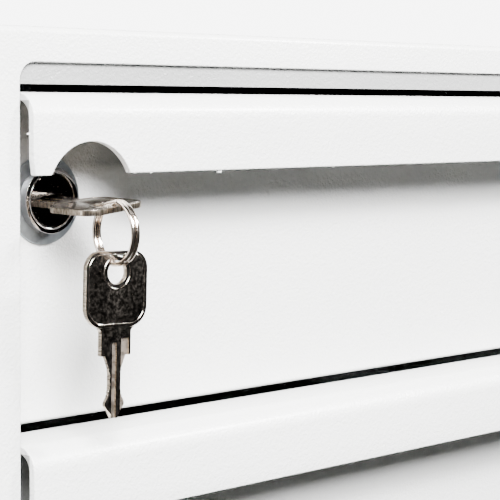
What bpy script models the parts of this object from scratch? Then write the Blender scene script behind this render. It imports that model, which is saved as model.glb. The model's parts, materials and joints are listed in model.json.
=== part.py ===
"""Two-drawer steel cash unit with a cam lock and keys, modelled in metres, +Z up, front towards -Y.

The origin is on the floor, below the middle of the whole unit with its hanging keys.
Every drawer is described from two values: the front plane of its pull lip and the top of that lip.
"""
import math

import bmesh
import bpy
from mathutils import Euler, Matrix, Vector

# Casing
CASE_WIDTH = 0.430
CASE_DEPTH = 0.430
SHEET = 0.0012
STILE_WIDTH = 0.014
TOP_RAIL = 0.018
BOTTOM_RAIL = 0.016
SHELL_REVEAL = 0.0028
OPENING_RADIUS = 0.006
PAN_RIM = 0.012
FOOT_HEIGHT = 0.008
FOOT_RADIUS = 0.011
FOOT_INSET = 0.034
FOOT_TAPER = 0.86
FOOT_RECESS = 0.0048
FOOT_SCREW_SHANK = 0.002
FOOT_SCREW_HEAD = 0.004
FOOT_SCREW_DOME = (0.0022, 0.0026)
FOOT_SCREW_REACH = 0.004

# Drawer fronts
FRONT_HEIGHT = 0.1093
REVEAL = 0.0026
SIDE_REVEAL = 0.0028
LIP_PROUD = 0.0045
HOOD_DEPTH = 0.0246
LIP_HEIGHT = 0.026
HOOD_THICK = 0.0026
BEND_RADIUS = 0.008
PANEL_RETURN = 0.012

# Drawer bodies and ball runners
BODY_HEIGHT = 0.070
BODY_LIFT = 0.005
BODY_LENGTH = 0.380
RUNNER_SPACE = 0.0135
RUNNER_SETBACK = 0.004
RUNNER_LENGTH = 0.360
RUNNER_HEIGHT = 0.038
RUNNER_RISE = 0.032
INNER_RUNNER_DEPTH = 0.0075
OUTER_LIP_SPACE = 0.004
RACE_GAP = 0.0043
CAGE_WALL = 0.0008
CAGE_SIDE_SPACE = 0.0016
CAGE_LIP_SPACE = 0.0005
CAGE_PLAY = 0.010
BALL_INSET = 0.0025
BALL_DIAMETER = 0.0034
BALLS_PER_RACE = 3
TRAVEL = 0.250
UPRIGHT_WIDTH = 0.030
UPRIGHT_INSET = 0.030
DIVIDER_FOOT = 0.020
DIVIDER_SHARE = 0.8

# Lock
LOCK_INSET = 0.0259
LOCK_DROP = 0.0352
CUTOUT_DROP = 0.0341
CUTOUT_RADIUS = 0.0185
BEZEL_RADIUS = 0.011
BEZEL_LENGTH = 0.0036
BEZEL_RIM = 0.0019
BEZEL_EDGE = 0.0006
ROSETTE_RADIUS = 0.0148
ROSETTE_THICK = 0.0008
BARREL_RADIUS = 0.008
BARREL_LENGTH = 0.020
PLUG_RADIUS = 0.0062
PLUG_RECESS = 0.0006
PLUG_CAP = 0.0010
TAIL_RADIUS = 0.0038
KEYWAY_WIDTH = 0.0098
KEYWAY_HEIGHT = 0.0036
KEYWAY_DEPTH = 0.0225
NUT_ACROSS = 0.0205
NUT_THICK = 0.004
NUT_ROOM = 0.004
CAM_LENGTH = 0.030
CAM_WIDTH = 0.013
CAM_THICK = 0.002
CAM_CORNER = 0.004
CAM_SCREW_SHANK = 0.0018
CAM_SCREW_DEPTH = 0.0035
CAM_SCREW_DOME = ((0, 0.0026), (0.0040, 0.0020), (0.0052, 0))
STRIKE_WIDTH = 0.018
STRIKE_OVERLAP = 0.009

# Keys and ring
BOW_SIZE = 0.0243
BOW_CORNER = 0.0057
BOW_HOLE_RADIUS = 0.0038
BOW_HOLE_INSET = 0.0068
KEY_THICK = 0.002
SHOULDER_LENGTH = 0.009
SHOULDER_WIDTH = 0.0114
BLADE_LENGTH = 0.020
BLADE_WIDTH = 0.0080
BLADE_CUTS = ((0.0, 0.98), (0.04, 0.96), (0.09, 0.79), (0.19, 0.60), (0.25, 0.57), (0.31, 0.43), (0.41, 0.50),
              (0.46, 0.43), (0.52, 0.43), (0.56, 0.57), (0.66, 0.65), (0.74, 0.84), (0.79, 0.87), (0.84, 0.77),
              (0.89, 0.52), (0.95, 0.32), (1.0, 0.20))
KEY_DROOP = math.radians(1.3)
KEY_TURN = math.radians(6.3)
KEY_SINK = 0.0003
KEY_SEAT_GAP = 0.0001
HANG_TWIST = math.radians(4.2)
SPARE_LEAN = math.radians(1.2)
RING_RADIUS = 0.010
RING_SHIFT = 0.0005
WIRE_DIAMETER = 0.0016
RING_PLAY = 0.0004
KEY_PLAY = 0.0005

# Till insert
TRAY_HEIGHT = 0.048
TRAY_WALL = 0.002
TRAY_SIDE_GAP = 0.003
TRAY_FRONT_GAP = 0.030
TRAY_REAR_GAP = 0.010
COIN_BAY_LENGTH = 0.128
COIN_COLUMNS = 4
COIN_ROWS = 2
COIN_HEIGHT = 0.040
COIN_SCOOP = 0.45
NOTE_BAYS = 4
ROD_RADIUS = 0.002
ROD_DROP = 0.006
ROD_REAR_GAP = 0.016
CLIP_LENGTH = 0.060
CLIP_WIDTH = 0.018
CLIP_THICK = 0.002
CLIP_TOE = (-0.006, 0.003)
CLIP_FLOOR_GAP = 0.001
KNUCKLE_RADIUS = 0.0042
SPRING_TURNS = 5
SPRING_WIRE = 0.0008
SPRING_PITCH = 1.25 * SPRING_WIRE

# Clearances and smoothness
GAP = 0.0003
RUN_GAP = 0.0004
HOLE_GAP = 0.0005
ROUND_STEPS = 32
SMALL_STEPS = 20
TINY_STEPS = 16
COIL_STEPS = 10
ARC_STEPS = 5
MERGE = 0.00001

# Worked out from the driving sizes
OPENING_HALF = CASE_WIDTH / 2 - STILE_WIDTH
INNER_HALF = CASE_WIDTH / 2 - SHEET
FRONT_HALF = OPENING_HALF - SIDE_REVEAL
BODY_HALF = OPENING_HALF - RUNNER_SPACE
PANEL_BACK = HOOD_DEPTH + SHEET
BODY_START = PANEL_BACK + GAP
RUNNER_START = HOOD_DEPTH + PANEL_RETURN + RUNNER_SETBACK
LOCK_X = LOCK_INSET - OPENING_HALF
KEY_STOP = HOOD_DEPTH - ROSETTE_THICK - BEZEL_LENGTH - 2 * GAP + PLUG_RECESS - KEY_SEAT_GAP
BOW_TIP = KEY_STOP - SHOULDER_LENGTH - BOW_SIZE
BRIDGE = BOW_HOLE_INSET - BOW_HOLE_RADIUS
RING_Y = BOW_TIP + BRIDGE / 2
KEY_REACH = RING_RADIUS + WIRE_DIAMETER / 2 - RING_Y
TOTAL_DEPTH = KEY_REACH + LIP_PROUD + CASE_DEPTH
LIP_Y = KEY_REACH - TOTAL_DEPTH / 2
CASE_FRONT = LIP_Y + LIP_PROUD
CASE_BACK = CASE_FRONT + CASE_DEPTH
LOWER_TOP = FOOT_HEIGHT + BOTTOM_RAIL + REVEAL + FRONT_HEIGHT
UPPER_TOP = LOWER_TOP + REVEAL + FRONT_HEIGHT
CASE_TOP = UPPER_TOP + REVEAL + TOP_RAIL
LOCK_Z = UPPER_TOP - LOCK_DROP
CEILING = CASE_TOP - SHEET

WHITE_PAINT = ((0.86, 0.86, 0.85), 0.42, 0.0)
GREY_PAINT = ((0.74, 0.75, 0.75), 0.45, 0.0)
ZINC_STEEL = ((0.62, 0.64, 0.66), 0.35, 1.0)
CHROME = ((0.66, 0.64, 0.63), 0.08, 1.0)
NICKEL = ((0.60, 0.57, 0.53), 0.22, 1.0)
BRASS = ((0.72, 0.55, 0.28), 0.3, 1.0)
BLACK_PLASTIC = ((0.035, 0.035, 0.037), 0.5, 0.0)
GREY_PLASTIC = ((0.25, 0.26, 0.27), 0.45, 0.0)
BLACK_RUBBER = ((0.02, 0.02, 0.02), 0.8, 0.0)

PARTS = "cash_unit"
CUTTERS = "cutters"


# Scene and naming helpers

def clear_scene():
    """Remove every object and make the two collections."""
    for old in list(bpy.data.objects):
        bpy.data.objects.remove(old, do_unlink=True)
    for name in (PARTS, CUTTERS):
        group = bpy.data.collections.new(name)
        bpy.context.scene.collection.children.link(group)
    bpy.context.view_layer.update()


def pivot(name, place):
    """An empty that marks a body's joint, at a point in the world."""
    empty = bpy.data.objects.new(name, None)
    empty.empty_display_size = 0.01
    empty.location = place
    bpy.data.collections[PARTS].objects.link(empty)
    return empty


def part(piece, name, finish, parent=None):
    """Name a piece, give it its own material and file it under its parent empty."""
    piece.name = name
    piece.data.name = name
    colour, roughness, metallic = finish
    material = bpy.data.materials.new(name)
    material.use_nodes = True
    shader = material.node_tree.nodes["Principled BSDF"]
    shader.inputs["Base Color"].default_value = (*colour, 1.0)
    shader.inputs["Roughness"].default_value = roughness
    shader.inputs["Metallic"].default_value = metallic
    material.diffuse_color = (*colour, 1.0)
    piece.data.materials.clear()
    piece.data.materials.append(material)
    if parent is not None:
        piece.parent = parent
        piece.matrix_parent_inverse = Matrix.Translation(-parent.location)
    return piece


def cutter(piece):
    """Turn a solid into a cutter that neither renders nor exports."""
    bpy.data.collections[PARTS].objects.unlink(piece)
    bpy.data.collections[CUTTERS].objects.link(piece)
    piece.name = "cut"
    piece.hide_render = True
    piece.display_type = "WIRE"
    return piece


def boolean(piece, tool, operation="DIFFERENCE"):
    """Cut or join a solid with a tool."""
    change = piece.modifiers.new(operation.lower(), "BOOLEAN")
    change.object = cutter(tool)
    change.operation = operation
    change.solver = "EXACT"
    return piece


# Shape helpers

def mesh_object(shape, place=(0, 0, 0)):
    """A new object from a bmesh, at a place."""
    mesh = bpy.data.meshes.new("mesh")
    shape.to_mesh(mesh)
    shape.free()
    piece = bpy.data.objects.new("piece", mesh)
    piece.location = place
    bpy.data.collections[PARTS].objects.link(piece)
    return piece


def boxes(*spans):
    """One object that holds a box for each (low corner, high corner)."""
    middle = (Vector(spans[0][0]) + Vector(spans[0][1])) / 2
    shape = bmesh.new()
    for low, high in spans:
        low, high = Vector(low), Vector(high)
        size = Matrix.Diagonal((*(high - low), 1))
        move = Matrix.Translation((low + high) / 2 - middle)
        bmesh.ops.create_cube(shape, size=1, matrix=move @ size)
    return mesh_object(shape, middle)


def across(low, high, y0, y1, z0, z1):
    """A box span from its X, Y and Z limits."""
    return ((low, y0, z0), (high, y1, z1))


def arc(centre, radius, start, end, steps=ARC_STEPS):
    """Points on an arc, with angles in degrees."""
    turns = [math.radians(start + (end - start) * i / steps) for i in range(steps + 1)]
    return [(centre[0] + radius * math.cos(t), centre[1] + radius * math.sin(t)) for t in turns]


def rounded(x0, x1, y0, y1, radius):
    """A rectangle with round corners, as points."""
    return (arc((x1 - radius, y0 + radius), radius, -90, 0)
            + arc((x1 - radius, y1 - radius), radius, 0, 90)
            + arc((x0 + radius, y1 - radius), radius, 90, 180)
            + arc((x0 + radius, y0 + radius), radius, 180, 270))


def circle(centre, radius, steps=SMALL_STEPS):
    """Points round a circle."""
    return arc(centre, radius, 0, 360 * (steps - 1) / steps, steps - 1)


TURNED = {
    "X": Matrix(((0, 0, 1), (1, 0, 0), (0, 1, 0))).to_4x4(),
    "Y": Matrix(((1, 0, 0), (0, 0, -1), (0, 1, 0))).to_4x4(),
    "Z": Matrix.Identity(4),
}


def outline(loops, thickness, place, normal):
    """A flat outline, with any holes, made solid across its normal axis and centred on place."""
    curve = bpy.data.curves.new("outline", "CURVE")
    curve.dimensions = "2D"
    curve.fill_mode = "BOTH"
    curve.extrude = thickness / 2
    for loop in loops:
        spline = curve.splines.new("POLY")
        spline.points.add(len(loop) - 1)
        for point, (u, v) in zip(spline.points, loop):
            point.co = (u, v, 0, 1)
        spline.use_cyclic_u = True
    return solid_from_curve(curve, Matrix.Translation(place) @ TURNED[normal])


def solid_from_curve(curve, matrix):
    """Change a curve to a closed mesh object and remove the curve."""
    source = bpy.data.objects.new("curve", curve)
    source.matrix_world = matrix
    bpy.context.scene.collection.objects.link(source)
    bpy.context.view_layer.update()
    graph = bpy.context.evaluated_depsgraph_get()
    mesh = bpy.data.meshes.new_from_object(source.evaluated_get(graph))
    shape = bmesh.new()
    shape.from_mesh(mesh)
    bmesh.ops.remove_doubles(shape, verts=shape.verts, dist=MERGE)
    bmesh.ops.recalc_face_normals(shape, faces=shape.faces)
    shape.to_mesh(mesh)
    shape.free()
    piece = bpy.data.objects.new("piece", mesh)
    piece.matrix_world = matrix
    bpy.data.collections[PARTS].objects.link(piece)
    bpy.data.objects.remove(source, do_unlink=True)
    return piece


def turned(profile, place, rotation=(0, 0, 0), steps=ROUND_STEPS, closed=False):
    """A turned solid from (radius, height) points that run down the outer side."""
    mesh = bpy.data.meshes.new("turned")
    points = [(radius, 0, height) for radius, height in profile]
    edges = [(i, i + 1) for i in range(len(points) - 1)]
    if closed:
        edges.append((len(points) - 1, 0))
    mesh.from_pydata(points, edges, [])
    piece = bpy.data.objects.new("turned", mesh)
    piece.location = place
    piece.rotation_euler = rotation
    bpy.data.collections[PARTS].objects.link(piece)
    spin = piece.modifiers.new("spin", "SCREW")
    spin.steps = steps
    spin.render_steps = steps
    spin.use_merge_vertices = True
    spin.merge_threshold = MERGE
    spin.use_smooth_shade = True
    return piece


INWARDS = (-math.pi / 2, 0, 0)


def rod(radius, start, end, steps=SMALL_STEPS):
    """A plain round bar between two points, as a solid."""
    start, end = Vector(start), Vector(end)
    shape = bmesh.new()
    bmesh.ops.create_cone(shape, cap_ends=True, segments=steps, radius1=radius, radius2=radius,
                          depth=(end - start).length)
    piece = mesh_object(shape, (start + end) / 2)
    piece.rotation_euler = (end - start).to_track_quat("Z", "Y").to_euler()
    piece.data.shade_smooth()
    piece.data.set_sharp_from_angle(angle=math.radians(40))
    return piece


# Casing

def casing():
    """Shell, base pan, back pan, top rail, feet and runner uprights."""
    shell = boxes(across(-CASE_WIDTH / 2, CASE_WIDTH / 2, CASE_FRONT, CASE_BACK, FOOT_HEIGHT, CASE_TOP))
    boolean(shell, boxes(across(-INNER_HALF, INNER_HALF, CASE_FRONT + SHEET, CASE_BACK + SHEET,
                                FOOT_HEIGHT - SHEET, CEILING)))
    mouth = rounded(-OPENING_HALF, OPENING_HALF, FOOT_HEIGHT + BOTTOM_RAIL,
                    CASE_TOP - TOP_RAIL + SHELL_REVEAL, OPENING_RADIUS)
    boolean(shell, outline([mouth], 6 * SHEET, (0, CASE_FRONT, 0), "Y"))
    part(shell, "casing_shell", WHITE_PAINT)

    inner = INNER_HALF - GAP
    front = CASE_FRONT + SHEET + GAP
    base = boxes(across(-inner, inner, front, CASE_BACK - GAP, FOOT_HEIGHT, FOOT_HEIGHT + PAN_RIM))
    boolean(base, boxes(across(-inner + SHEET, inner - SHEET, front + SHEET, CASE_BACK - GAP - SHEET,
                               FOOT_HEIGHT + SHEET, FOOT_HEIGHT + 2 * PAN_RIM)))
    part(base, "casing_base", GREY_PAINT)

    bottom = FOOT_HEIGHT + PAN_RIM + GAP
    back = boxes(across(-inner, inner, CASE_BACK - PAN_RIM, CASE_BACK - GAP, bottom, CEILING - GAP))
    boolean(back, boxes(across(-inner + SHEET, inner - SHEET, CASE_BACK - 2 * PAN_RIM,
                               CASE_BACK - GAP - SHEET, bottom + SHEET, CEILING - GAP - SHEET)))
    part(back, "casing_back", WHITE_PAINT)

    rail_z = CASE_TOP - TOP_RAIL
    rail = [(front, CEILING - GAP), (front, rail_z), (front + PANEL_RETURN, rail_z),
            (front + PANEL_RETURN, rail_z + SHEET), (front + SHEET, rail_z + SHEET),
            (front + SHEET, CEILING - GAP)]
    width = 2 * (INNER_HALF - GAP)
    part(outline([rail], width, (0, 0, 0), "X"), "top_rail", GREY_PAINT)

    for side, sign in (("left", -1), ("right", 1)):
        for end, y in (("front", CASE_FRONT + FOOT_INSET), ("rear", CASE_BACK - FOOT_INSET)):
            foot(base, f"{end}_{side}", sign * (CASE_WIDTH / 2 - FOOT_INSET), y)
        for end, y in upright_places():
            upright(f"upright_{end}_{side}", sign, y)
    strike()


def foot(base, label, x, y):
    """A rubber foot and the screw that holds it to the base."""
    seat = FOOT_HEIGHT / 2
    top = FOOT_HEIGHT - GAP
    hole = FOOT_SCREW_SHANK + HOLE_GAP
    profile = [(hole, top), (FOOT_RADIUS, top), (FOOT_RADIUS, FOOT_HEIGHT / 2), (FOOT_RADIUS * FOOT_TAPER, 0),
               (FOOT_RECESS, 0), (FOOT_RECESS, seat), (hole, seat)]
    part(turned(profile, (x, y, 0), steps=SMALL_STEPS, closed=True), f"foot_{label}", BLACK_RUBBER)
    tip = FOOT_HEIGHT + SHEET + FOOT_SCREW_REACH
    rim, crown = FOOT_SCREW_DOME
    screw = [(0, tip), (FOOT_SCREW_SHANK, tip), (FOOT_SCREW_SHANK, seat - GAP), (FOOT_SCREW_HEAD, seat - GAP),
             (FOOT_SCREW_HEAD, seat - rim), (0, seat - crown)]
    part(turned(screw, (x, y, 0), steps=TINY_STEPS), f"foot_screw_{label}", ZINC_STEEL)
    boolean(base, rod(hole, (x, y, FOOT_HEIGHT - SHEET), (x, y, FOOT_HEIGHT + 2 * SHEET), TINY_STEPS))


def upright_places():
    """The two rows of runner uprights, near the ends of the runners."""
    first = LIP_Y + RUNNER_START + UPRIGHT_INSET
    last = LIP_Y + RUNNER_START + RUNNER_LENGTH - UPRIGHT_INSET - UPRIGHT_WIDTH
    return (("front", first), ("rear", last))


def upright(name, sign, y):
    """A hat-section post that carries the runners inside the casing wall."""
    face = OPENING_HALF
    wall = INNER_HALF - GAP
    points = [(wall, y), (face, y), (face, y + UPRIGHT_WIDTH), (wall, y + UPRIGHT_WIDTH),
              (wall, y + UPRIGHT_WIDTH - SHEET), (face + SHEET, y + UPRIGHT_WIDTH - SHEET),
              (face + SHEET, y + SHEET), (wall, y + SHEET)]
    low = FOOT_HEIGHT + PAN_RIM + GAP
    high = CEILING - GAP
    post = outline([[(sign * u, v) for u, v in points]], high - low, (0, 0, (low + high) / 2), "Z")
    part(post, name, ZINC_STEEL)


def strike():
    """The catch plate under the casing top that the lock cam turns behind."""
    plate_front = cam_front() - GAP - RUN_GAP - SHEET * 2
    plate_back = plate_front + SHEET * 2
    low = LOCK_Z + CAM_LENGTH - STRIKE_OVERLAP - CAM_WIDTH / 2
    high = CEILING - GAP
    flange = plate_front - PANEL_RETURN
    points = [(plate_back, low), (plate_back, high), (flange, high), (flange, high - SHEET),
              (plate_front, high - SHEET), (plate_front, low)]
    part(outline([points], STRIKE_WIDTH, (LOCK_X, 0, 0), "X"), "strike_plate", ZINC_STEEL)


# Drawer fronts, bodies and runners

def hood_outline():
    """Section of the folded front, from the lip plane (0) and the lip top (0)."""
    panel_foot = -FRONT_HEIGHT
    flange = HOOD_DEPTH + PANEL_RETURN
    inner = BEND_RADIUS - HOOD_THICK
    lip_edge = HOOD_THICK / 2
    return (arc((lip_edge, -LIP_HEIGHT + lip_edge), lip_edge, 0, -180)
            + arc((BEND_RADIUS, -BEND_RADIUS), BEND_RADIUS, 180, 90, 8)
            + [(PANEL_BACK, 0), (PANEL_BACK, panel_foot + SHEET), (flange, panel_foot + SHEET),
               (flange, panel_foot), (HOOD_DEPTH, panel_foot), (HOOD_DEPTH, -HOOD_THICK)]
            + arc((BEND_RADIUS, -BEND_RADIUS), inner, 90, 180, 6))


def drawer_front(name, top, parent, with_lock):
    """A front folded from one sheet: hood, pull lip, recessed panel and edge returns."""
    front = outline([hood_outline()], 2 * FRONT_HALF, (0, LIP_Y, top), "X")
    side = HOOD_DEPTH + SHEET + GAP
    for sign in (-1, 1):
        edge = sorted((sign * FRONT_HALF, sign * (FRONT_HALF - SHEET)))
        boolean(front, boxes(across(*edge, LIP_Y + HOOD_DEPTH + SHEET / 2, LIP_Y + side + PANEL_RETURN,
                                    top - FRONT_HEIGHT + SHEET / 2, top - HOOD_THICK)), "UNION")
    if with_lock:
        notch = [circle((LOCK_X, top - CUTOUT_DROP), CUTOUT_RADIUS, 48)]
        boolean(front, outline(notch, 3 * HOOD_THICK, (0, LIP_Y, 0), "Y"))
        boolean(front, rod(BARREL_RADIUS + HOLE_GAP, (LOCK_X, LIP_Y + HOOD_DEPTH - SHEET, LOCK_Z),
                           (LOCK_X, LIP_Y + PANEL_BACK + SHEET, LOCK_Z), ROUND_STEPS))
    part(front, name, WHITE_PAINT, parent)


def drawer_body(name, top, parent, with_lock):
    """A welded steel tray behind the front."""
    start = LIP_Y + BODY_START
    end = start + BODY_LENGTH
    low = top - FRONT_HEIGHT + BODY_LIFT
    body = boxes(across(-BODY_HALF, BODY_HALF, start, end, low, low + BODY_HEIGHT))
    boolean(body, boxes(across(-BODY_HALF + SHEET, BODY_HALF - SHEET, start + SHEET, end - SHEET,
                               low + SHEET, low + 2 * BODY_HEIGHT)))
    if with_lock:
        half = NUT_ACROSS / 2 + NUT_ROOM
        notch_side = max(LOCK_X - half, -BODY_HALF + SHEET)
        boolean(body, boxes(across(notch_side, LOCK_X + half, start - SHEET, start + 2 * SHEET,
                                   LOCK_Z - half, low + 2 * BODY_HEIGHT)))
    part(body, name, GREY_PAINT, parent)


def channel(low_x, high_x, half, wall, length, y, z, open_side):
    """A C-section strip along Y, open towards one side."""
    web = high_x if open_side < 0 else low_x
    lip = low_x if open_side < 0 else high_x
    inner = web + open_side * wall
    points = [(web, -half), (web, half), (lip, half), (lip, half - wall), (inner, half - wall),
              (inner, -half + wall), (lip, -half + wall), (lip, -half)]
    return outline([points], length, (0, y + length / 2, z), "Y")


def runner_set(label, top, drawer, cage_parent):
    """Outer runner, inner runner and ball cage on both sides of a drawer."""
    z = top - FRONT_HEIGHT + BODY_LIFT + RUNNER_RISE
    y = LIP_Y + RUNNER_START
    inner_half = RUNNER_HEIGHT / 2 - SHEET - RACE_GAP
    outer_face = OPENING_HALF - GAP
    inner_face = BODY_HALF + GAP
    lips = inner_face + OUTER_LIP_SPACE
    for side, sign in (("left", -1), ("right", 1)):
        outer = sorted((sign * lips, sign * outer_face))
        piece = channel(*outer, RUNNER_HEIGHT / 2, SHEET, RUNNER_LENGTH, y, z, -sign)
        part(piece, f"{label}_outer_runner_{side}", ZINC_STEEL)
        inner = sorted((sign * inner_face, sign * (inner_face + INNER_RUNNER_DEPTH)))
        piece = channel(*inner, inner_half, SHEET, RUNNER_LENGTH, y, z, sign)
        part(piece, f"{label}_inner_runner_{side}", ZINC_STEEL, drawer)
        cage = ball_cage(sign, lips + CAGE_LIP_SPACE, outer_face - SHEET - CAGE_SIDE_SPACE,
                         inner_half + (RACE_GAP + CAGE_WALL) / 2, y, z)
        part(cage, f"{label}_ball_cage_{side}", BRASS, cage_parent)


def ball_cage(sign, lip, web, half, y, z):
    """A folded strip between the two runners, with its balls."""
    length = RUNNER_LENGTH - TRAVEL - CAGE_PLAY
    start = y + (TRAVEL + CAGE_PLAY) / 2
    cage = channel(*sorted((sign * lip, sign * web)), half, CAGE_WALL, length, start, z, -sign)
    balls = bmesh.new()
    for level in (-1, 1):
        for i in range(BALLS_PER_RACE):
            place = (sign * (lip + BALL_INSET), start + length * (i + 0.5) / BALLS_PER_RACE,
                     z + level * (half - CAGE_WALL / 2))
            bmesh.ops.create_uvsphere(balls, u_segments=8, v_segments=6, radius=BALL_DIAMETER / 2,
                                      matrix=Matrix.Translation(place))
    return boolean(cage, mesh_object(balls), "UNION")


# Lock

def cam_front():
    """The front face of the cam, behind the barrel."""
    return LIP_Y + HOOD_DEPTH + BARREL_LENGTH + RUN_GAP


def lock_fixed(drawer):
    """The lock's chromed body, the rosette behind its head and the nut inside the drawer."""
    face = HOOD_DEPTH - GAP - ROSETTE_THICK - GAP
    head = face - BEZEL_LENGTH
    bore = PLUG_RADIUS + RUN_GAP
    axis = (LOCK_X, LIP_Y, LOCK_Z)
    recess = BEZEL_RADIUS - BEZEL_RIM
    seat = head + PLUG_RECESS + PLUG_CAP + RUN_GAP
    body = [(bore, BARREL_LENGTH + HOOD_DEPTH), (BARREL_RADIUS, BARREL_LENGTH + HOOD_DEPTH),
            (BARREL_RADIUS, face), (BEZEL_RADIUS, face), (BEZEL_RADIUS, head + BEZEL_EDGE),
            (BEZEL_RADIUS - BEZEL_EDGE, head), (recess, head), (recess, seat), (bore, seat)]
    part(turned(body, axis, INWARDS, closed=True), "lock_body", CHROME, drawer)

    hole = BARREL_RADIUS + GAP
    ring = [(hole, face + GAP + ROSETTE_THICK), (ROSETTE_RADIUS, face + GAP + ROSETTE_THICK),
            (ROSETTE_RADIUS, face + GAP), (hole, face + GAP)]
    part(turned(ring, axis, INWARDS, closed=True), "lock_rosette", ZINC_STEEL, drawer)

    hexagon = arc((0, 0), NUT_ACROSS / 2 / math.cos(math.pi / 6), 30, 330, 5)
    nut_y = LIP_Y + PANEL_BACK + GAP + NUT_THICK / 2
    nut = outline([hexagon, circle((0, 0), hole, ROUND_STEPS)], NUT_THICK, (LOCK_X, nut_y, LOCK_Z), "Y")
    part(nut, "lock_nut", ZINC_STEEL, drawer)


def lock_turning(plug_axis):
    """The plug with its keyway, the cam and the cam's screw."""
    axis = (LOCK_X, LIP_Y, LOCK_Z)
    head = HOOD_DEPTH - GAP - ROSETTE_THICK - GAP - BEZEL_LENGTH
    rear = BARREL_LENGTH + HOOD_DEPTH - GAP
    tail_end = BARREL_LENGTH + HOOD_DEPTH + RUN_GAP + CAM_THICK + GAP
    plug_face = head + PLUG_RECESS
    cap = BEZEL_RADIUS - BEZEL_RIM - RUN_GAP
    profile = [(0, tail_end), (TAIL_RADIUS, tail_end), (TAIL_RADIUS, rear), (PLUG_RADIUS, rear),
               (PLUG_RADIUS, plug_face + PLUG_CAP), (cap, plug_face + PLUG_CAP), (cap, plug_face), (0, plug_face)]
    plug = turned(profile, axis, INWARDS)
    half_w, half_h = KEYWAY_WIDTH / 2, KEYWAY_HEIGHT / 2
    keyway = boxes(across(-half_w, half_w, LIP_Y + head - SHEET, LIP_Y + plug_face + KEYWAY_DEPTH,
                          -half_h, half_h))
    keyway.location = (LOCK_X, keyway.location.y, LOCK_Z)
    keyway.rotation_euler = (0, -KEY_TURN, 0)
    boolean(plug, keyway)
    boolean(plug, rod(CAM_SCREW_SHANK + GAP, (LOCK_X, LIP_Y + tail_end - 2 * CAM_THICK, LOCK_Z),
                      (LOCK_X, LIP_Y + tail_end + SHEET, LOCK_Z), TINY_STEPS))
    part(plug, "lock_plug", CHROME, plug_axis)

    half, tip, corner = CAM_WIDTH / 2, CAM_LENGTH, CAM_CORNER
    blade = arc((0, 0), half, 90, 270, 10) + [(tip - corner, -half), (tip, corner - half), (tip, half - corner),
                                             (tip - corner, half)]
    blade = [rotated(point, KEY_TURN) for point in blade]
    cam_y = cam_front() + CAM_THICK / 2
    cam = outline([blade, circle((0, 0), TAIL_RADIUS + GAP)], CAM_THICK, (LOCK_X, cam_y, LOCK_Z), "Y")
    part(cam, "lock_cam", ZINC_STEEL, plug_axis)

    seat = tail_end + GAP
    screw = [(radius, seat + height) for radius, height in CAM_SCREW_DOME]
    screw += [(CAM_SCREW_SHANK, seat), (CAM_SCREW_SHANK, tail_end - CAM_SCREW_DEPTH),
              (0, tail_end - CAM_SCREW_DEPTH)]
    part(turned(screw, axis, INWARDS, TINY_STEPS), "cam_screw", ZINC_STEEL, plug_axis)


# Keys

def rotated(point, angle):
    """A flat point turned about the origin."""
    u, v = point
    return (u * math.cos(angle) - v * math.sin(angle), u * math.sin(angle) + v * math.cos(angle))


def key_outline():
    """Outline of a key: blade tip at +Y, shoulder stop at 0, bow towards -Y."""
    half = BOW_SIZE / 2
    bow_top = -SHOULDER_LENGTH
    neck = SHOULDER_WIDTH / 2
    right = [(neck, bow_top), (neck, 0)]
    right += [(share * BLADE_WIDTH / 2, along * BLADE_LENGTH) for along, share in BLADE_CUTS]
    left = [(-u, v) for u, v in reversed(right)]
    bow = (arc((-half + BOW_CORNER, bow_top - BOW_CORNER), BOW_CORNER, 90, 180)
           + arc((-half + BOW_CORNER, bow_top - BOW_SIZE + BOW_CORNER), BOW_CORNER, 180, 270)
           + arc((half - BOW_CORNER, bow_top - BOW_SIZE + BOW_CORNER), BOW_CORNER, 270, 360)
           + arc((half - BOW_CORNER, bow_top - BOW_CORNER), BOW_CORNER, 0, 90))
    return right + left + bow


def key_blank():
    """A flat key in its own frame, with the hole for the ring."""
    hole = circle((0, -SHOULDER_LENGTH - BOW_SIZE + BOW_HOLE_INSET), BOW_HOLE_RADIUS)
    return outline([key_outline(), hole], KEY_THICK, (0, 0, 0), "Z")


def keys(key_axis, ring_axis, spare_axis):
    """The key in the lock, the split ring on its bow and the spare key on the ring."""
    key = key_blank()
    drop = math.sin(KEY_DROOP) * BLADE_LENGTH / 2 + KEY_SINK
    key.location = (LOCK_X, LIP_Y + KEY_STOP, LOCK_Z - drop)
    key.rotation_euler = (KEY_DROOP, -KEY_TURN, 0)
    part(key, "key", NICKEL, key_axis)

    half = WIRE_DIAMETER / 2
    ring = turned(two_turn_section(half), ring_centre(), (0, math.pi / 2, -HANG_TWIST), ROUND_STEPS, True)
    part(ring, "key_ring", NICKEL, ring_axis)

    spare = key_blank()
    spare.location = spare_place()
    spare.rotation_euler = (-math.pi / 2, SPARE_LEAN, -HANG_TWIST)
    part(spare, "spare_key", NICKEL, spare_axis)


def two_turn_section(half):
    """Section of two wire turns lying side by side, as (radius, height) points."""
    upper = [(RING_RADIUS + v, u) for u, v in arc((half, 0), half, -90, 90, 6)]
    lower = [(RING_RADIUS + v, u) for u, v in arc((-half, 0), half, 90, 270, 6)]
    return upper + lower


def bridge_place():
    """Middle of the strip of metal between the key's hole and its bow's end."""
    along = SHOULDER_LENGTH + BOW_SIZE - BRIDGE / 2
    drop = math.sin(KEY_DROOP) * (along + BLADE_LENGTH / 2) + KEY_SINK
    return Vector((LOCK_X, LIP_Y + KEY_STOP - along * math.cos(KEY_DROOP), LOCK_Z - drop))


def ring_centre():
    """The ring hangs with its inner side just above the bridge."""
    inner = RING_RADIUS - WIRE_DIAMETER / 2
    rise = math.sqrt(inner ** 2 - (BRIDGE / 2) ** 2)
    return bridge_place() + Vector((-RING_SHIFT, 0, KEY_THICK / 2 + RING_PLAY - rise))


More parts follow.
